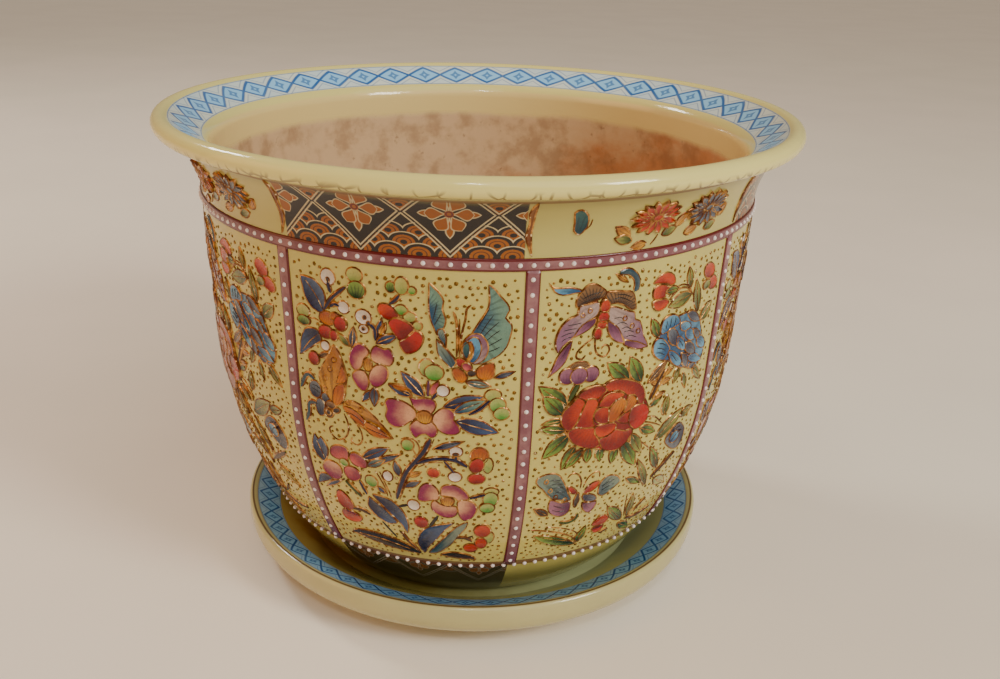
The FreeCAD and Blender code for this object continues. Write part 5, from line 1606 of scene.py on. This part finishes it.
class PLANTER_OT_bands(bpy.types.Operator):
    """Lay the mauve enamel belt round the neck and the eight bands down the wall"""
    bl_idname = "planter.bands"
    bl_label = "Enamel bands"

    def execute(self, context):
        wall = pot_wall()
        low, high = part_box("belt_band")
        foot, top = wall.up_at(low.z), wall.up_at(high.z)
        half_round = 100 * PANELS / 2
        belt = strip("belt_enamel", wall, -half_round, half_round, (top - foot) / 2, steps=384,
                     level=(foot + top) / 2)
        belt.data.materials.append(band_material("belt_enamel", edge_share=0.62))
        pieces = {"belt_band": belt}
        upright = band_material("band_enamel", edge_share=0.74)
        half_width = settings("planter_relief").band_width / MM / 2
        under_belt = 0.6
        for number in range(1, PANELS + 1):
            node = f"panel_band_{number}"
            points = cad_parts[node].data.vertices
            across = sum(point.co.x for point in points) / len(points)
            deep = sum(point.co.y for point in points) / len(points)
            band = strip(f"band_enamel_{number}", wall, 0, foot + under_belt, half_width, steps=60,
                         centre=math.atan2(across, -deep))
            band.data.materials.append(upright)
            pieces[node] = band
        for node, piece in pieces.items():
            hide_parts(node)
            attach(piece, "pot")
        return {"FINISHED"}


class PLANTER_OT_beads(bpy.types.Operator):
    """Give the rows of enamel beads their white enamel"""
    bl_idname = "planter.beads"
    bl_label = "Beads"

    def execute(self, context):
        white = bead_material()
        for node in ("belt_beads", "foot_beads", "panel_beads"):
            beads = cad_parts[node]
            for slot in beads.material_slots:
                slot.material = white
            for face in beads.data.polygons:
                face.use_smooth = True
        return {"FINISHED"}


class PLANTER_OT_flowers(bpy.types.Operator):
    """Raise the enamel flowers, butterflies and dots on the eight panels and the plain neck fields"""
    bl_idname = "planter.flowers"
    bl_label = "Enamel flowers"

    def execute(self, context):
        colours = settings("planter_ornament")
        # The lighter gold of the lines and dots, partly a painted highlight.
        light = tint(232, 172, 92)
        finishes = (
            enamel_material(), lustre_material("raised_line", colours.gold, light, share=0.7),
            lustre_material("raised_dot", colours.dot, light, share=0.35), stem_material())
        wall = pot_wall()
        for number in range(PANELS):
            panel = Relief()
            lay_panel(panel, PEONY_PANEL if number % 2 else BLOSSOM_PANEL)
            dots = panel.dots(DOT_SEED + number, low=3, high=147, half_width=45)
            neck = Relief()
            (lay_plain_neck if number % 2 else lay_brackets)(neck)
            shapes = {"flowers": panel.shape, "ground_dots": dots, "neck_ornament": neck.shape}
            for name, shape in shapes.items():
                roll(shape, wall, number * PANEL_TURN)
                piece = finished(f"{name}_{number + 1}", shape)
                for finish in finishes:
                    piece.data.materials.append(finish)
                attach(piece, "pot")
                if name == "flowers":
                    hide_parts(f"raised_flowers_{number + 1}")
        return {"FINISHED"}


class PLANTER_PT_sidebar(bpy.types.Panel):
    """The steps that dress the planter, and the sizes and colours they use"""
    bl_idname = "PLANTER_PT_sidebar"
    bl_label = "Planter"
    bl_space_type = "VIEW_3D"
    bl_region_type = "UI"
    bl_category = "Planter"

    def draw(self, context):
        for step in STEPS:
            self.layout.operator(step.bl_idname)
        for name, group in GROUPS.items():
            for value in group.__annotations__:
                self.layout.prop(settings(name), value)


STEPS = (PLANTER_OT_camera, PLANTER_OT_pot, PLANTER_OT_saucer, PLANTER_OT_bands, PLANTER_OT_beads,
         PLANTER_OT_flowers, PLANTER_OT_stage)
GROUPS = {
    "planter_glaze": GlazeColours, "planter_ornament": OrnamentColours, "planter_enamel": EnamelColours,
    "planter_relief": ReliefSizes, "planter_camera": CameraView}


def register():
    for kind in (*GROUPS.values(), *STEPS, PLANTER_PT_sidebar):
        bpy.utils.register_class(kind)
    for name, group in GROUPS.items():
        setattr(bpy.types.Scene, name, bpy.props.PointerProperty(type=group))


def unregister():
    for name in GROUPS:
        delattr(bpy.types.Scene, name)
    for kind in (PLANTER_PT_sidebar, *reversed(STEPS), *reversed(GROUPS.values())):
        bpy.utils.unregister_class(kind)


def main():
    register()
    bpy.ops.planter.camera()
    bpy.ops.planter.pot()
    bpy.ops.planter.saucer()
    bpy.ops.planter.bands()
    bpy.ops.planter.beads()
    bpy.ops.planter.flowers()
    bpy.ops.planter.stage()


if __name__ == "__main__":
    main()
